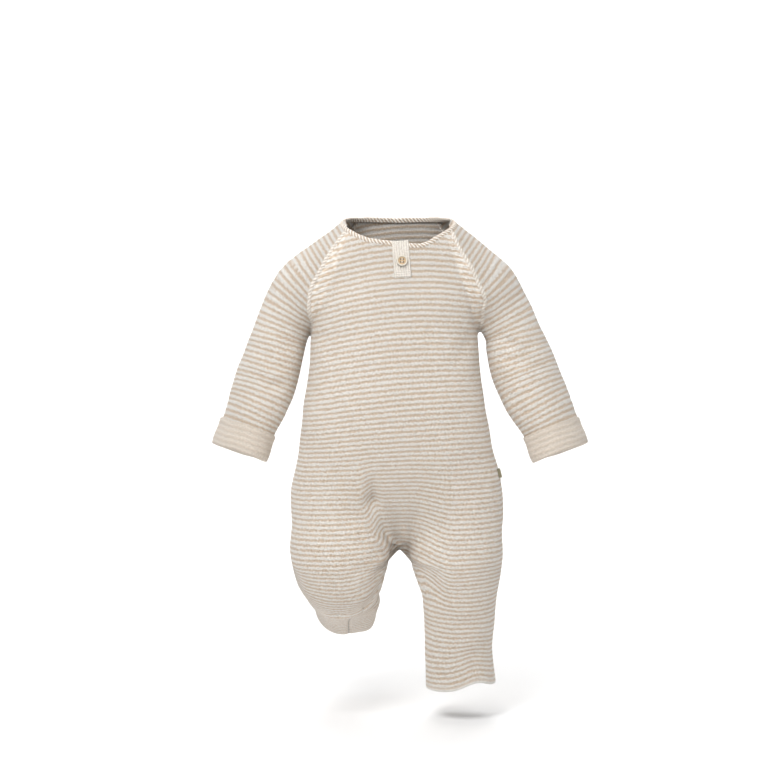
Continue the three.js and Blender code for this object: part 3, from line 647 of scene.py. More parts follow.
def crotch_arch(p):
    """More courses where the cloth is gathered up between the legs."""
    x, z = p[..., 0], p[..., 2]
    fold_x = np.interp(-z, [262, 300, 330, 348], [-36, -31, -22, -8])
    across = smoothstep(x - fold_x, -9, 9) * (1 - smoothstep(x, 8, 60))
    return 17 * smoothstep(-z, 225, 335) * across * (p[..., 1] < 10)


def fold_height(p):
    """How much the folds move the cloth out at each point."""
    flat = p.reshape(-1, 3)
    height = np.zeros(len(flat))
    for fold in np.concatenate([FOLDS, CREASES]):
        a, b, width, depth = fold[:3], fold[3:6], fold[6], fold[7]
        run = b - a
        near = (np.abs(flat - (a + b) / 2) < np.abs(run) / 2 + 3 * width).all(axis=1)
        d = flat[near] - a
        t = np.clip(d @ run / (run @ run), 0, 1)
        away = np.linalg.norm(d - t[:, None] * run, axis=1) / width
        height[near] += depth * np.exp(-away * away)
    return height.reshape(p.shape[:-1])


def soft_unevenness(p, amount):
    """Slow waves that keep the cloth from looking moulded."""
    x, y, z = p[..., 0], p[..., 1], p[..., 2]
    waves = (np.sin(x / 9.1 + z / 15.3 + 0.4) + np.sin(y / 7.7 - z / 11.9 + 1.9)
             + np.sin(x / 14.3 - z / 8.3 + y / 12.1) + 0.7 * np.sin(x / 5.3 + y / 6.1 + z / 7.1))
    return amount * waves / 3


def put_in_scene(name, data):
    item = bpy.data.objects.new(name, data)
    bpy.context.scene.collection.objects.link(item)
    return item


def weld(mesh, outward=False):
    """Joins points that coincide, and turns every face outward where asked."""
    bm = bmesh.new()
    bm.from_mesh(mesh)
    bmesh.ops.remove_doubles(bm, verts=bm.verts, dist=1e-6)
    if outward:
        bmesh.ops.recalc_face_normals(bm, faces=bm.faces)
    bm.to_mesh(mesh)
    bm.free()


def grid_normals(grid, flip):
    """Normals of a grid, from its differences along both axes."""
    n = unit(np.cross(np.gradient(grid, axis=0), np.gradient(grid, axis=1)))
    return -n if flip else n


def lengths(grid, axis):
    """Cumulative length along one axis of a grid."""
    step = np.linalg.norm(np.diff(grid, axis=axis), axis=-1)
    start = np.zeros_like(np.take(step, [0], axis=axis))
    return np.concatenate([start, np.cumsum(step, axis=axis)], axis=axis)


class Sheet:
    """Collects grids of points into one mesh, with cloth coordinates and masks.

    The mask "pale" marks the reverse of the knit; "seam" is the way to the nearest seam.
    """

    def __init__(self):
        self.points, self.cloth, self.pale, self.seam, self.faces = [], [], [], [], []
        self.count = 0

    def add(self, grid, cloth, pale=None, seam=None):
        shape = grid.shape[:2]
        ids = np.arange(shape[0] * shape[1]).reshape(shape) + self.count
        self.points.append(grid.reshape(-1, 3))
        self.cloth.append(cloth.reshape(-1, 2))
        self.pale.append((np.zeros(shape) if pale is None else pale).ravel())
        self.seam.append((np.full(shape, 99.0) if seam is None else seam).ravel())
        self.count += ids.size
        return ids

    def join(self, ids, flip=False):
        a, b, c, d = ids[:-1, :-1], ids[1:, :-1], ids[1:, 1:], ids[:-1, 1:]
        quads = np.stack([a, b, c, d], axis=-1).reshape(-1, 4)
        self.faces.append(quads[:, ::-1] if flip else quads)

    def make(self, name, welded=True):
        mesh = bpy.data.meshes.new(name)
        points = np.concatenate(self.points) * MM
        faces = np.concatenate(self.faces)
        mesh.from_pydata(points.tolist(), [], faces.tolist())
        cloth = np.concatenate(self.cloth)
        layer = mesh.uv_layers.new(name="cloth")
        corner = np.empty(len(mesh.loops), dtype=np.int32)
        mesh.loops.foreach_get("vertex_index", corner)
        layer.data.foreach_set("uv", cloth[corner].astype(np.float32).ravel())
        for mask, parts in (("pale", self.pale), ("seam", self.seam)):
            layer = mesh.attributes.new(mask, "FLOAT", "POINT")
            layer.data.foreach_set("value", np.concatenate(parts).astype(np.float32))
        if welded:
            weld(mesh)
        mesh.shade_smooth()
        return put_in_scene(name, mesh)


def finish_piece(piece, nodes, material):
    piece.data.materials.append(material)
    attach(piece, "root")
    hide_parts(*nodes)
    return piece


def seam_dip(distance, depth=1.1, width=1.9):
    """The cloth turns in where it is sewn."""
    return -depth * np.exp(-((distance / width) ** 2))


def rolled_hem(edge, normal, down):
    """Rows that carry an edge round a small roll and up inside."""
    rows = []
    for turn in np.linspace(0.15, 1, 7) * math.pi:
        rows.append(edge - HEM_ROLL * normal
                    + HEM_ROLL * (math.cos(turn) * normal + math.sin(turn) * down))
    for rise in np.linspace(0.2, 1, 4) * HEM_INSIDE:
        rows.append(edge - 2 * HEM_ROLL * normal - rise * down)
    return np.array(rows)


def hem_sway(side, edge):
    """How far the edge of a leg hangs below a plain ring, all round."""
    d = edge - LEGS[side].at(1)[0][0]
    if side == "left":
        turn = np.arctan2(d[:, 0], -d[:, 1])
        return 1.0 - 7.5 * np.exp(-(((turn - 0.44) / 0.5) ** 2))
    turn = np.arctan2(d[:, 0], -d[:, 2])
    return 1.2 * np.cos(2 * turn + 0.6)


def body_panel(face):
    """The front or the back: its torso, and its half of both legs."""
    start, end, halves, torso_rows = body_halves(face)
    panel = Sheet()
    for side in (start, end):
        grid = halves[side]
        mirrored = side == end
        normals = grid_normals(grid, mirrored)
        # Both halves and both panels agree along the lines that they share.
        normals[:, 0] = form_normal(grid[:, 0])
        normals[:, -1] = form_normal(grid[:, -1])
        rows = np.arange(grid.shape[0])[:, None]
        height = fold_height(grid) + soft_unevenness(grid, 0.55)
        across = lengths(grid, 1)
        height += seam_dip(across)
        on_leg = rows[:, 0] >= torso_rows - 1
        from_inseam = across[:, -1:] - across
        height[on_leg] += seam_dip(from_inseam)[on_leg]
        placed = grid + normals * height[..., None]
        # Courses by height on the torso, by rings on the legs.
        courses = crowding(course_at(grid)) + crotch_arch(grid)
        down_leg = lengths(grid[torso_rows - 1:], 0)
        ring = down_leg.mean(axis=1)[:, None] * LEG_COURSES
        level = courses[torso_rows - 1] + down_leg * LEG_COURSES
        even = np.median(courses[torso_rows - 1]) + RING_LEAD[side] + ring
        share = smoothstep(ring, 0, LEG_EASE[side])
        courses[torso_rows - 1:] = level * (1 - share) + even * share
        columns = grid.shape[1] - 1
        wale = np.linspace(0, HALF_PANEL, columns + 1)
        wales = np.broadcast_to(wale if not mirrored else 2 * HALF_PANEL - wale, courses.shape)
        seam = np.where(on_leg[:, None], np.minimum(across, from_inseam), across)
        down = unit(placed[-1] - placed[-3])
        fade = smoothstep(rows - rows[-1], -HEM_SWAY_RISE, 0)[..., None]
        placed = placed + fade * hem_sway(side, grid[-1])[:, None] * down
        hem = rolled_hem(placed[-1], normals[-1], down)
        hem_course = courses[-1] + np.linspace(0.5, 14, len(hem))[:, None]
        placed = np.concatenate([placed, hem])
        courses = np.concatenate([courses, hem_course])
        wales = np.concatenate([wales, np.broadcast_to(wales[-1], hem_course.shape)])
        seam = np.concatenate([seam, np.broadcast_to(seam[-1], hem_course.shape)])
        pale = np.zeros(courses.shape)
        pale[-len(hem) - 1:-4] = 2
        pale[-4:] = 1
        pale[-len(hem) - 2] = 0.8
        ids = panel.add(placed, np.stack([wales, courses], axis=-1), pale, seam)
        panel.join(ids, mirrored)
    return panel


def arm_directions(arm, t):
    """Along the arm, up across it and out to its front."""
    along = arm.tangent(t)
    up = unit(np.array([0, 0, 1.0]) - along * along[2])
    front = unit(np.array([0, -1.0, 0]) + along * along[1])
    return along, up, front


def arm_ring(arm, t, angle, shift):
    """Points round the arm, by their angle from its front and their way along it."""
    centre, radius = arm.at(t)
    along, up, front = arm_directions(arm, t)
    angle = angle[:, None]
    ring = centre[0] + radius[0] * (front * np.cos(angle) + up * np.sin(angle))
    return ring + along * shift[:, None]


def sleeve_grid(side):
    """Arcs over the shoulder, then rings down the arm to where the cuff turns back."""
    arm = ARMS[side]
    first_ring = arm.at_height(FIRST_ARM_RING_Z)
    u = np.linspace(0, 1, SLEEVE_COLUMNS + 1)
    hand = 1 if side == "left" else -1
    neck_from = math.radians(RAGLAN_NECK_ANGLE["front"])
    neck_to = math.radians(RAGLAN_NECK_ANGLE["back"])
    rows = []
    for k in range(RAGLAN_ROWS + 1):
        a, b = RAGLAN[side, "front"][k], RAGLAN[side, "back"][k]
        t = 0.02 + (first_ring - 0.02) * k / RAGLAN_ROWS
        centre = arm.at(t)[0][0]
        along, up, front = arm_directions(arm, t)
        places = []
        for point in (a, b):
            d = point - centre
            places.append((math.atan2(d @ up, d @ front), d @ along))
        (angle_a, shift_a), (angle_b, shift_b) = places
        if angle_b <= angle_a:
            angle_b += TWO_PI
        seeds = arm_ring(arm, t, angle_a + (angle_b - angle_a) * u,
                         shift_a + (shift_b - shift_a) * u)
        neck_share = max(0, 1 - k / RAGLAN_ROWS * 2.75) ** 2
        neck = neck_seed(hand * (neck_from + (neck_to - neck_from) * u))
        row = seeds * (1 - neck_share) + neck * neck_share
        row = settle_level(row) if k == 0 else settle(row)
        row[0], row[-1] = a, b
        rows.append(row)
    steps = np.linspace(first_ring, CUFF_START, SLEEVE_ROWS + 1)[1:]
    for i, t in enumerate(steps, start=1):
        ease = max(0, 1 - i / 12) ** 2
        begin = angle_a * ease - 0.5 * math.pi * (1 - ease)
        rows.append(settle(arm_ring(arm, t, begin + TWO_PI * u, shift_a * ease + 0 * u)))
    return refine(refine(np.array(rows), 1), 0)


def sleeve_pieces(side):
    grid = sleeve_grid(side)
    arm = ARMS[side]
    flip = side == "right"
    normals = grid_normals(grid, flip)
    open_rows = 2 * RAGLAN_ROWS
    normals[:, 0] = form_normal(grid[:, 0])
    normals[:, -1] = form_normal(grid[:, -1])
    across = lengths(grid, 1)
    height = fold_height(grid) + soft_unevenness(grid, 0.5)
    both = seam_dip(across) + seam_dip(across[:, -1:] - across)
    under = np.clip((np.arange(len(grid)) - open_rows) / 6, 0, 1)[:, None]
    height += both * (1 - 0.65 * under)
    placed = grid + normals * height[..., None]
    courses = arm.along(grid.reshape(-1, 3)).reshape(grid.shape[:2])
    wales = np.broadcast_to(np.linspace(0, SLEEVE_GIRTH, grid.shape[1]), courses.shape)
    sheet = Sheet()
    to_seam = np.minimum(across, across[:, -1:] - across)
    ids = sheet.add(placed, np.stack([wales, courses], axis=-1), seam=to_seam)
    sheet.join(ids, flip)
    sleeve = sheet.make(f"sleeve_{side}_knit")

    # The cuff shows the reverse: it comes from inside, round the fold and back up.
    edge, n = placed[-1], normals[-1]
    down = arm.tangent(CUFF_START)
    ring = np.linspace(0, TWO_PI, len(edge))
    waver = 0.5 * np.sin(3 * ring + 0.7) + 0.35 * np.sin(5 * ring + 2.1)
    waver[-1] = waver[0]
    fold_radius = (CUFF_PROUD + 1.8) / 2
    profile = [(-1.8, -r) for r in (22, 16, 10, 5, 1)]
    for turn in np.linspace(0, 1, 9) * math.pi:
        profile.append((-1.8 + fold_radius * (1 - math.cos(turn)), fold_radius * math.sin(turn)))
    steps = np.linspace(1, CUFF_HEIGHT - 1, 22)
    profile += [(CUFF_PROUD + 0.35 * math.sin(h / 4.1), -h) for h in steps]
    profile += [(CUFF_PROUD - 0.3, -CUFF_HEIGHT - 0.2), (CUFF_PROUD - 1.2, -CUFF_HEIGHT - 0.6),
                (CUFF_PROUD - 2.1, -CUFF_HEIGHT), (0.2, -CUFF_HEIGHT + 1.5)]
    rows, length, before = [], [], None
    for out, reach in profile:
        sway = waver * min(1, max(0, (out + 1.8) / 4))
        rows.append(edge + n * (out + 0.6 * sway)[:, None] + down * (reach + 0.8 * sway)[:, None])
        here = np.array([out, reach])
        length.append(0 if before is None else length[-1] + np.linalg.norm(here - before))
        before = here
    rows = np.array(rows)
    rows[:, -1] = rows[:, 0]
    cloth = np.stack(np.broadcast_arrays(
        np.linspace(0, SLEEVE_GIRTH, rows.shape[1])[None, :], np.array(length)[:, None]), axis=-1)
    cuff_sheet = Sheet()
    cuff_sheet.join(cuff_sheet.add(rows, cloth, np.ones(rows.shape[:2])), flip)
    return sleeve, cuff_sheet.make(f"cuff_{side}_knit")


class Shader:
    """A small helper that writes a node material as expressions."""

    def __init__(self, name):
        self.material = bpy.data.materials.new(name)
        self.material.use_nodes = True
        self.tree = self.material.node_tree
        self.nodes, self.links = self.tree.nodes, self.tree.links
        self.nodes.clear()
        self.out = self.nodes.new("ShaderNodeOutputMaterial")
        self.bsdf = self.nodes.new("ShaderNodeBsdfPrincipled")
        self.links.new(self.bsdf.outputs[0], self.out.inputs[0])

    def set(self, socket, value):
        if isinstance(value, bpy.types.NodeSocket):
            self.links.new(value, socket)
        elif value is not None:
            socket.default_value = value

    def math(self, operation, a, b=None):
        node = self.nodes.new("ShaderNodeMath")
        node.operation = operation
        for socket, value in zip(node.inputs, (a, b)):
            self.set(socket, value)
        return node.outputs[0]

    def times(self, first, *others):
        for value in others:
            first = self.math("MULTIPLY", first, value)
        return first

    def plus(self, first, *others):
        for value in others:
            first = self.math("ADD", first, value)
        return first

    def cloth(self):
        """The cloth's own coordinates, both together and each alone."""
        node = self.nodes.new("ShaderNodeUVMap")
        node.uv_map = "cloth"
        return node.outputs[0], *self.split(node.outputs[0])[:2]

    def attribute(self, name):
        node = self.nodes.new("ShaderNodeAttribute")
        node.attribute_name = name
        return node.outputs["Fac"]

    def noise(self, vector, scale, detail=2.0, rough=0.5):
        node = self.nodes.new("ShaderNodeTexNoise")
        self.links.new(vector, node.inputs["Vector"])
        node.inputs["Scale"].default_value = scale
        node.inputs["Detail"].default_value = detail
        node.inputs["Roughness"].default_value = rough
        return node.outputs[0]

    def split(self, vector):
        node = self.nodes.new("ShaderNodeSeparateXYZ")
        self.links.new(vector, node.inputs[0])
        return node.outputs

    def stretch(self, vector, factors):
        node = self.nodes.new("ShaderNodeVectorMath")
        node.operation = "MULTIPLY"
        self.links.new(vector, node.inputs[0])
        node.inputs[1].default_value = factors
        return node.outputs[0]

    def grain(self, u, v, wide, high):
        """One random number from 0 to 1 for each stitch."""
        cell = self.nodes.new("ShaderNodeCombineXYZ")
        self.links.new(self.math("FLOOR", self.math("DIVIDE", u, wide)), cell.inputs[0])
        self.links.new(self.math("FLOOR", self.math("DIVIDE", v, high)), cell.inputs[1])
        node = self.nodes.new("ShaderNodeTexWhiteNoise")
        node.noise_dimensions = "2D"
        self.links.new(cell.outputs[0], node.inputs["Vector"])
        return node.outputs["Value"]

    def place(self):
        return self.nodes.new("ShaderNodeTexCoord").outputs["Object"]

    def ramp(self, value, low, high, to_low=0.0, to_high=1.0):
        node = self.nodes.new("ShaderNodeMapRange")
        node.interpolation_type = "SMOOTHSTEP"
        self.set(node.inputs[0], value)
        for i, number in enumerate((low, high, to_low, to_high), start=1):
            node.inputs[i].default_value = number
        return node.outputs[0]

    def mix(self, share, a, b):
        node = self.nodes.new("ShaderNodeMix")
        node.data_type = "RGBA"
        self.set(node.inputs[0], share)
        for socket, value in ((node.inputs[6], a), (node.inputs[7], b)):
            self.set(socket, (*value, 1) if isinstance(value, tuple) else value)
        return node.outputs[2]

    def darken(self, colour, amount):
        node = self.nodes.new("ShaderNodeMix")
        node.data_type = "RGBA"
        node.blend_type = "MULTIPLY"
        node.inputs[0].default_value = 1
        grey = self.nodes.new("ShaderNodeCombineColor")
        for i in range(3):
            self.set(grey.inputs[i], amount)
        self.links.new(colour, node.inputs[6])
        self.links.new(grey.outputs[0], node.inputs[7])
        return node.outputs[2]

    def bump(self, height, distance):
        node = self.nodes.new("ShaderNodeBump")
        node.inputs["Strength"].default_value = 1.0
        node.inputs["Distance"].default_value = distance
        self.set(node.inputs["Height"], height)
        return node.outputs[0]

    def finish(self, colour, roughness, normal=None, sheen=0.0):
        self.set(self.bsdf.inputs["Base Color"],
                 (*colour, 1) if isinstance(colour, tuple) else colour)
        self.set(self.bsdf.inputs["Roughness"], roughness)
        self.set(self.bsdf.inputs["Normal"], normal)
        self.bsdf.inputs["Sheen Weight"].default_value = sheen
        self.bsdf.inputs["Sheen Roughness"].default_value = 0.5
        self.bsdf.inputs["Specular IOR Level"].default_value = 0.2
        return self.material


def stitch_height(s, u, v, wale=STITCH_WIDTH, course=1.5):
    """The small arrow-shaped stitches of plain knit."""
    across = s.math("PINGPONG", s.math("DIVIDE", u, wale), 0.5)
    phase = s.plus(s.math("DIVIDE", v, course), across)
    ridge = s.math("SINE", s.times(phase, TWO_PI))
    groove = s.math("SINE", s.times(across, TWO_PI))
    return s.plus(s.times(ridge, 0.35), s.times(groove, 0.5))


def striped_knit():
    s = Shader("striped_knit")
    uv, u, v = s.cloth()
    # Stripe edges: zigzag by stitches, waver finely and drift slowly.
    leg = s.math("PINGPONG", s.math("DIVIDE", u, STITCH_WIDTH), 0.5)
    shift = s.times(leg, 1.1)
    for scale, reach in ((0.6, 4.2), (0.24, 2.6), (0.03, 1.4)):
        wander = s.math("SUBTRACT", s.noise(uv, scale, 2.0, 0.6), 0.5)
        shift = s.plus(shift, s.times(wander, reach))
    course = s.math("DIVIDE", s.plus(v, shift), STRIPES)
    wave = s.math("SINE", s.times(course, TWO_PI))
    stripe = s.ramp(wave, -0.6, 0.35)
    grain = s.grain(u, v, STITCH_WIDTH, 1.5)
    speck = s.noise(uv, 0.5, 2.0, 0.7)
    beige = s.mix(s.ramp(speck, 0.36, 0.66), BEIGE_DEEP, BEIGE_LIGHT)
    cream = s.mix(s.ramp(speck, 0.36, 0.62), CREAM_DEEP, CREAM_LIGHT)
    colour = s.mix(stripe, beige, cream)
    pale = s.attribute("pale")
    colour = s.mix(s.ramp(pale, 0, 1), colour, s.mix(stripe, REVERSE_DEEP, REVERSE_LIGHT))
    colour = s.mix(s.ramp(pale, 1, 2), colour, CREAM_LIGHT)
    stitches = stitch_height(s, u, v)
    fuzz = s.noise(uv, 0.7, 3.0, 0.75)
    # Painted shade: the stitch grooves and the low spots of the fuzz are darkened and the stitch
    # crests lightened, following the bump; grain adds random tone from stitch to stitch.
    shade = s.times(s.ramp(stitches, -0.6, 0.6, 0.86, 1.03),
                    s.ramp(fuzz, 0.3, 0.7, 0.8, 1.09),
                    s.plus(s.times(grain, 0.1), 0.95))
    # A sewn seam shows as a fine dark line, strongest where a beige stripe crosses it.
    sewn = s.ramp(s.attribute("seam"), 0.35, 1.3, 1.0, 0.0)
    knots = s.ramp(wave, -0.5, 0.6, 0.46, 0.2)
    shade = s.times(shade, s.math("SUBTRACT", 1.0, s.times(sewn, knots)))
    colour = s.darken(colour, shade)
    height = s.plus(s.times(wave, 0.25), s.times(stitches, 0.3), s.times(fuzz, 0.55),
                    s.times(grain, 0.15))
    return s.finish(colour, 0.92, s.bump(height, 0.0012), 0.3)


def cream_knit(name, beige=0.0, rib=0.0):
    """Cream knit: plain, with beige ridges that slant, or with ribs of a given width."""
    s = Shader(name)
    uv, u, v = s.cloth()
    speck = s.noise(uv, 0.6, 2.0, 0.7)
    colour = s.mix(s.ramp(speck, 0.36, 0.64), TRIM_DEEP, TRIM_LIGHT)
    if beige:
        band = s.plus(s.math("DIVIDE", u, 4.2), s.math("DIVIDE", v, 5.0),
                      s.times(s.noise(uv, 0.4, 2.0), 0.5))
        wave = s.math("SINE", s.times(band, TWO_PI))
        share = s.times(s.ramp(wave, -0.5, 0.5), beige)
        colour = s.mix(share, colour, BEIGE_DEEP)
        height = s.times(wave, -0.5)
    else:
        height = s.times(stitch_height(s, u, v, 1.7, 1.6), 0.5)
    if rib:
        # Painted shade: the grooves between the ribs are darkened.
        rib_shade = s.math("COSINE", s.times(u, TWO_PI / rib))
        colour = s.darken(colour, s.ramp(rib_shade, -1.0, -0.2, 0.84, 1.0))
    grain = s.grain(u, v, 1.35, 1.3)
    fuzz = s.noise(uv, 1.8, 3.0, 0.7)
    # Painted shade: darker where the ridges or stitches lie low and in the low spots of the fuzz;
    # grain adds random tone from stitch to stitch.
    shade = s.times(s.ramp(height, -0.4, 0.4, 0.9, 1.02),
                    s.ramp(fuzz, 0.25, 0.75, 0.92, 1.04),
                    s.plus(s.times(grain, 0.1), 0.95))
    height = s.plus(height, s.times(fuzz, 0.6))
    return s.finish(s.darken(colour, shade), 0.92, s.bump(height, 0.0009), 0.3)


def button_look():
    """A wooden dish inside a cream rim, by the distance from the middle in metres, with painted
    shade in the corner of the dish, on the rim's outer side and in the holes.
    """
    s = Shader("wood")
    place = s.place()
    x, y, z = s.split(place)
    radius = s.math("SQRT", s.plus(s.times(x, x), s.times(z, z)))
    rings = s.noise(s.stretch(place, (90, 1, 420)), 6.0, 3.0)
    wood = s.mix(s.ramp(rings, 0.3, 0.7), (0.50, 0.34, 0.20), (0.66, 0.49, 0.31))
    colour = s.mix(s.ramp(radius, 0.0040, 0.0044), wood, (0.72, 0.66, 0.56))
    # Painted shade: a dark ring in the corner where the rim meets the dish.
    groove = s.math("ABSOLUTE", s.math("SUBTRACT", radius, 0.0043))
    colour = s.darken(colour, s.ramp(groove, 0.0, 0.0005, 0.55, 1.0))
    # Painted shade: the rim's outer side darkens towards its edge.
    colour = s.darken(colour, s.ramp(radius, 0.0056, 0.0061, 1.0, 0.5))
    # Painted shade: the holes' walls below the dish and their floors are near black.
    within = s.ramp(radius, 0.0038, 0.0042, 1.0, 0.0)
    hole_shade = s.times(s.ramp(y, -0.0015, -0.0013), within)
    colour = s.mix(hole_shade, colour, (0.05, 0.035, 0.025))
    height = s.times(rings, s.ramp(radius, 0.0042, 0.0046, 1.0, 0.0))
    return s.finish(colour, 0.45, s.bump(height, 0.0001), 0.0)


def thread_look():
    s = Shader("thread")
    twist = s.noise(s.place(), 3000.0, 2.0)
    colour = s.mix(s.ramp(twist, 0.3, 0.7), (0.80, 0.76, 0.68), (0.92, 0.90, 0.84))
    return s.finish(colour, 0.8, s.bump(twist, 0.0001), 0.2)


def tape_look():
    """A fine diagonal weave."""
    s = Shader("woven_tape")
    uv, u, v = s.cloth()
    twill = s.math("SINE", s.times(s.plus(u, v), TWO_PI / 0.7))
    fuzz = s.noise(uv, 3.0, 2.0)
    colour = s.mix(s.ramp(twill, -1.0, 1.0), (0.33, 0.29, 0.19), (0.45, 0.40, 0.28))
    height = s.plus(s.times(twill, 0.5), s.times(fuzz, 0.3))
    return s.finish(colour, 0.85, s.bump(height, 0.0003), 0.1)


KNIT = striped_knit()
SEAM_LOOK = cream_knit("seam_ridge", beige=0.3)
TAB_LOOK = cream_knit("cream_rib", rib=2.65)
BAND_LOOK = cream_knit("neckband", beige=0.8)


def surface(p):
    """A point of the form moved out as the panels are, with the way out."""
    n = form_normal(p)
    height = fold_height(p) + soft_unevenness(p, 0.55)
    return p + n * height[:, None], n


def swept(name, points, normals, across, profile, closed=False):
    """A strip of a given cross-section, each point of it (across, out), along a line."""
    rows = np.array([points + across * a[:, None] + normals * b[:, None]
                     for a, b in zip(*profile)])
    run = lengths(points[None], 1)[0]
    girth = lengths(rows[:, :1], 0)[:, 0]
    cloth = np.stack(np.broadcast_arrays(run[None, :], girth[:, None]), axis=-1)
    sheet = Sheet()
    sheet.join(sheet.add(rows, cloth))
    return sheet.make(name, welded=closed)


def raglan_ridge(side, face):
    points, n = surface(spaced(RAGLAN[side, face], 240))
    across = unit(np.cross(n, unit(np.gradient(points, axis=0))))
    run = lengths(points[None], 1)[0]
    bumps = 0.14 * np.sin(run * TWO_PI / 2.2) + 0.1 * np.sin(run / 5.3)
    wander = 0.25 * np.sin(run / 6.1 + 1) + 0.15 * np.sin(run / 2.3)
    profile = np.array(RIDGE)
    out = np.array([b + bumps * (b > -1) for b in profile[:, 1]])
    wide = np.array([a + wander for a in profile[:, 0]])
    piece = swept(f"raglan_{face}_{side}", points, n, across, [wide, out])
    return finish_piece(piece, [f"raglan_seam_{face}_{side}"], SEAM_LOOK)


def neckband():
    turns = np.linspace(0, TWO_PI, 561)
    p = settle_level(neck_seed(turns))
    p[-1] = p[0]
    points, n = surface(p)
    run = unit(np.roll(points[:-1], -1, axis=0) - np.roll(points[:-1], 1, axis=0))
    run = np.concatenate([run, run[:1]])
    up = unit(np.cross(n, run))
    waver = 0.2 * np.sin(9 * turns) + 0.12 * np.sin(23 * turns + 1)
    profile = np.array(BAND)
    rise = np.array([a + waver * (a > 3) for a in profile[:, 0]])
    out = np.array([b + 0.1 * np.sin(60 * turns) * (b > 0) for b in profile[:, 1]])
    piece = swept("neckband_knit", points, n, up, [rise, out], closed=True)
    return finish_piece(piece, ["neckband"], BAND_LOOK)


def front_surface(x, z):
    """The front of the garment straight behind each x and z."""
    p = np.stack([x, np.full_like(x, -80.0), z], axis=-1)
    for _ in range(60):
        p[:, 1] += form(p)
    return surface(p)


def placket():
    rows, columns = 150, 76
    v = np.linspace(0, TAB["length"], rows)[:, None]
    u = np.linspace(-0.5, 0.5, columns)[None, :] * TAB["width"]
    u, v = np.broadcast_arrays(u, v)
    fray = 0.22 * np.sin(v * TWO_PI / 2.1) + 0.15 * np.sin(v * TWO_PI / 3.7 + 1)
    u2 = u + np.sign(u) * fray * smoothstep(np.abs(u), 6.5, 9.2)
    sag = (0.25 * np.sin(u * TWO_PI / 2.4) + 0.3 * np.sin(u / 2.9)) * smoothstep(
        v, TAB["length"] - 4, TAB["length"])
    v2 = v + sag
    tilt = math.radians(TAB["tilt"])
    x = TAB["x"] + u2 * math.cos(tilt) + v2 * math.sin(tilt)
    z = TAB["top"] + u2 * math.sin(tilt) - v2 * math.cos(tilt)
    base, n = front_surface(x.ravel(), z.ravel())
    turned = smoothstep(v, TAB_TURNED * TAB["length"] - 0.6, TAB_TURNED * TAB["length"] + 0.6)
    ribs = 0.55 * np.cos(u * TWO_PI / TAB_RIB) + 0.12 * np.sin(v * TWO_PI / 1.7)
    courses = 0.35 * np.sin(v * TWO_PI / 2.2) + 0.15 * np.sin(u * TWO_PI / 1.9)
    relief = ribs * (1 - turned) + (courses + 0.25) * turned
    edge = np.minimum(TAB["width"] / 2 - np.abs(u), TAB["length"] - v)
    edge = np.minimum(edge, v + 0.3)
    fall = np.sqrt(np.clip(1 - (1 - np.clip(edge / 1.3, 0, 1)) ** 2, 0, 1))
    out = 0.1 + (TAB["out"] - 0.1) * fall + relief * smoothstep(edge, 0.2, 1.6)
    points = (base + n * out.ravel()[:, None]).reshape(rows, columns, 3)
    sheet = Sheet()
    ids = sheet.add(points, np.stack([u, v], axis=-1))
    sheet.join(ids)
    piece = sheet.make("placket_knit")
    return finish_piece(piece, ["placket"], TAB_LOOK)


def circle(radius, count, x=0.0, z=0.0):
    turn = np.arange(count) * TWO_PI / count
    return np.stack([x + radius * np.cos(turn), z + radius * np.sin(turn)], axis=-1)


def ring_faces(first, count):
    """Faces between a ring of points, the first of them given, and the next ring."""
    turn = [(first + k, first + (k + 1) % count) for k in range(count)]
    return [(a, b, b + count, a + count) for a, b in turn]


def bare_piece(name, verts, faces, material):
    """A mesh in its own millimetres, set on the front at the button's seat."""
    mesh = bpy.data.meshes.new(name)
    mesh.from_pydata((np.array(verts) * MM).tolist(), [], [list(map(int, f)) for f in faces])
    mesh.shade_smooth()
    mesh.materials.append(material)
    piece = put_in_scene(name, mesh)
    piece.matrix_world = button_seat()
    return piece


def button_seat():
    p, n = front_surface(np.array([BUTTON["x"]]), np.array([BUTTON["z"]]))
    out = Vector(n[0])
    across = Vector((1, 0, 0)) - out * out.x
    across.normalize()
    up = across.cross(-out)
    turn = Matrix((across, -out, up)).transposed().to_4x4()
    return Matrix.Translation(Vector((p[0] + n[0] * BUTTON["out"]) * MM)) @ turn


def button():
    """A turned rim, a flat dish with four holes, and the holes' walls."""
    verts, faces = [], []
    for radius, height in BUTTON_RIM:
        verts += [(x, -height, z) for x, z in circle(radius, RIM_STEPS)]
    for i in range(len(BUTTON_RIM) - 1):
        faces += ring_faces(i * RIM_STEPS, RIM_STEPS)
    floor_height = BUTTON_RIM[-1][1]
    half = HOLE_SPACING / 2
    middles = [(x, z) for x in (-half, half) for z in (-half, half)]
    rings = [circle(BUTTON_RIM[-1][0], RIM_STEPS)]
    rings += [circle(HOLE_RADIUS, HOLE_STEPS, *middle) for middle in middles]
    flat = np.concatenate(rings)
    edges, begin = [], 0
    for ring in rings:
        edges += [(begin + k, begin + (k + 1) % len(ring)) for k in range(len(ring))]
        begin += len(ring)
    points, _, triangles, *_ = delaunay_2d_cdt([Vector(p) for p in flat], edges, [], 0, 1e-6)
    base = len(verts)
    verts += [(p.x, -floor_height, p.y) for p in points]
    for triangle in triangles:
        middle = sum((points[k] for k in triangle), Vector((0, 0))) / 3
        if all((middle - Vector(hole)).length > HOLE_RADIUS * 0.98 for hole in middles):
            faces.append([base + k for k in triangle])
    for middle in middles:
        top = len(verts)
        for depth in (floor_height, HOLE_FLOOR):
            verts += [(x, -depth, z) for x, z in circle(HOLE_RADIUS, HOLE_STEPS, *middle)]
        faces += [face[::-1] for face in ring_faces(top, HOLE_STEPS)]
        faces.append(range(top + HOLE_STEPS, top + 2 * HOLE_STEPS))
    piece = bare_piece("button_turned", verts, faces, button_look())
    weld(piece.data, outward=True)
    return piece


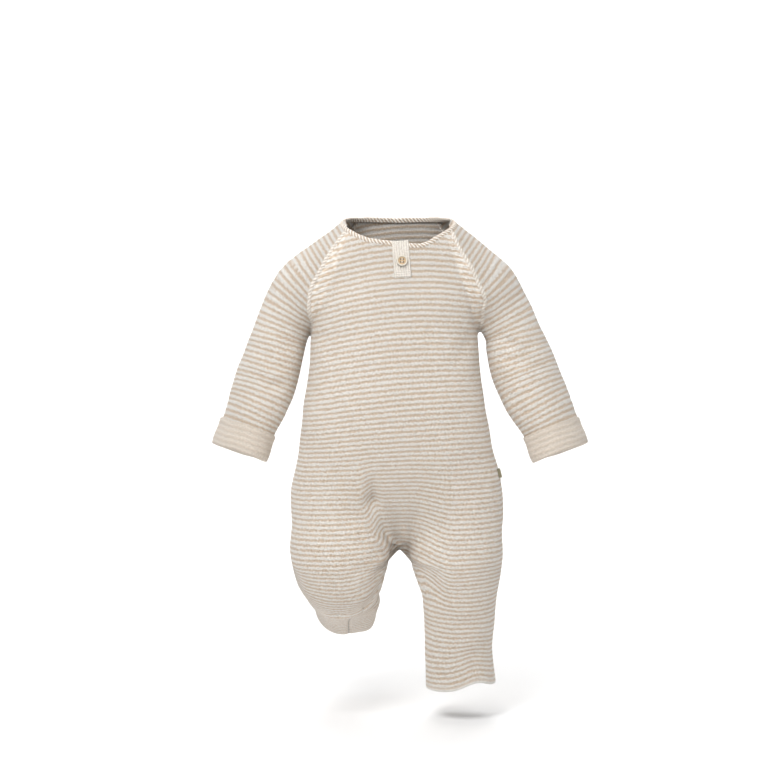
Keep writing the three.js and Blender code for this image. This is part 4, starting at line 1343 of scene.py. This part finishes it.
def thread():
    """Strands from hole to hole, two bars side by side."""
    verts, faces = [], []
    half, sides = HOLE_SPACING / 2, 8
    for bar in (-half, half):
        for strand in (-0.2, 0.2):
            s = np.linspace(-1, 1, 17)
            path = np.stack([half * 0.86 * s, -(1.2 + 0.95 * np.sqrt(np.clip(1 - s**2, 0, 1))),
                             bar + strand * (0.8 + 0.2 * s)], axis=-1)
            base = len(verts)
            for point in path:
                for k in range(sides):
                    turn = TWO_PI * k / sides
                    around = np.array([0, math.cos(turn), math.sin(turn)])
                    verts.append(point + THREAD_RADIUS * around)
            for i in range(len(path) - 1):
                faces += ring_faces(base + i * sides, sides)
    return bare_piece("button_thread", verts, faces, thread_look())


def side_label(seam):
    """A folded tape that stands out of the side seam; seam is the seam's line."""
    z = np.linspace(LABEL["z"] + LABEL["long"] / 2, LABEL["z"] - LABEL["long"] / 2, 30)
    order = np.argsort(seam[:, 2])
    line = np.stack([np.interp(z, seam[order, 2], seam[order, k]) for k in range(3)], axis=-1)
    n = form_normal(line)
    side = unit(np.cross(n, unit(np.gradient(line, axis=0))))
    bend = np.linspace(-math.pi / 2, math.pi / 2, 9)
    profile = [(-LABEL["half"], -1.4), (-LABEL["half"], 1.0)]
    profile += [(LABEL["half"] * math.sin(t), LABEL["out"] - 0.4 + 0.4 * math.cos(t))
                for t in bend]
    profile += [(LABEL["half"], 1.0), (LABEL["half"], -1.4)]
    profile = np.array(profile).T[:, :, None] * np.ones(len(line))
    piece = swept("side_label_tape", line, n, side, profile)
    return finish_piece(piece, ["side_label"], tape_look())


pieces = []
for face in ("front", "back"):
    piece = body_panel(face).make(f"{face}_knit")
    pieces.append(finish_piece(piece, [face], KNIT))
for side in SIDES:
    for piece in sleeve_pieces(side):
        pieces.append(finish_piece(piece, [f"sleeve_{side}"], KNIT))
    for face in ("front", "back"):
        pieces.append(raglan_ridge(side, face))
pieces += [neckband(), placket(), side_label(body_halves("front")[2]["left"][:, 0])]
for piece in (button(), thread()):
    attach(piece, "root")
    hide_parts("button")


def lights():
    for name, place, aim, size, power in LIGHTS:
        data = bpy.data.lights.new(name, "AREA")
        data.shape = "DISK"
        data.size = size
        data.energy = power
        lamp = put_in_scene(name, data)
        lamp.location = place
        lamp.rotation_euler = (Vector(aim) - Vector(place)).to_track_quat("-Z", "Y").to_euler()
    world = bpy.data.worlds.new("studio")
    bpy.context.scene.world = world
    world.use_nodes = True
    ground = world.node_tree.nodes["Background"]
    ground.inputs[0].default_value = (1, 1, 1, 1)
    ground.inputs[1].default_value = WORLD_LIGHT
    bpy.context.scene.view_settings.view_transform = "Standard"


def studio_floor():
    """A pale floor that curves up into a backdrop."""
    level, back, radius = FLOOR["level"], FLOOR["back"], FLOOR["bend"]
    profile = [(FLOOR["front"], level), (back - radius, level)]
    for turn in np.linspace(0, math.pi / 2, 17)[1:]:
        profile.append((back - radius + radius * math.sin(turn),
                        level + radius * (1 - math.cos(turn))))
    profile.append((back, FLOOR["top"]))
    verts = [(x, y, z) for y, z in profile for x in (-FLOOR["half"], FLOOR["half"])]
    faces = [(2 * i, 2 * i + 1, 2 * i + 3, 2 * i + 2) for i in range(len(profile) - 1)]
    mesh = bpy.data.meshes.new("studio_floor")
    mesh.from_pydata(verts, [], faces)
    mesh.shade_smooth()
    floor = put_in_scene("studio_floor", mesh)
    s = Shader("studio_floor")
    grain = s.noise(s.place(), 60.0, 2.0)
    mesh.materials.append(s.finish(FLOOR_COLOUR, s.ramp(grain, 0.3, 0.7, 0.75, 0.9)))


def camera():
    data = bpy.data.cameras.new("camera")
    data.sensor_width = CAMERA["sensor"]
    data.lens = CAMERA["lens"]
    view = put_in_scene("camera", data)
    tilt = math.radians(CAMERA["tilt"])
    aim = Vector(CAMERA["aim"])
    away = Vector((0, -math.cos(tilt), math.sin(tilt)))
    view.location = aim + CAMERA["away"] * away
    view.rotation_euler = (-away).to_track_quat("-Z", "Y").to_euler()
    bpy.context.scene.camera = view


lights()
studio_floor()
camera()
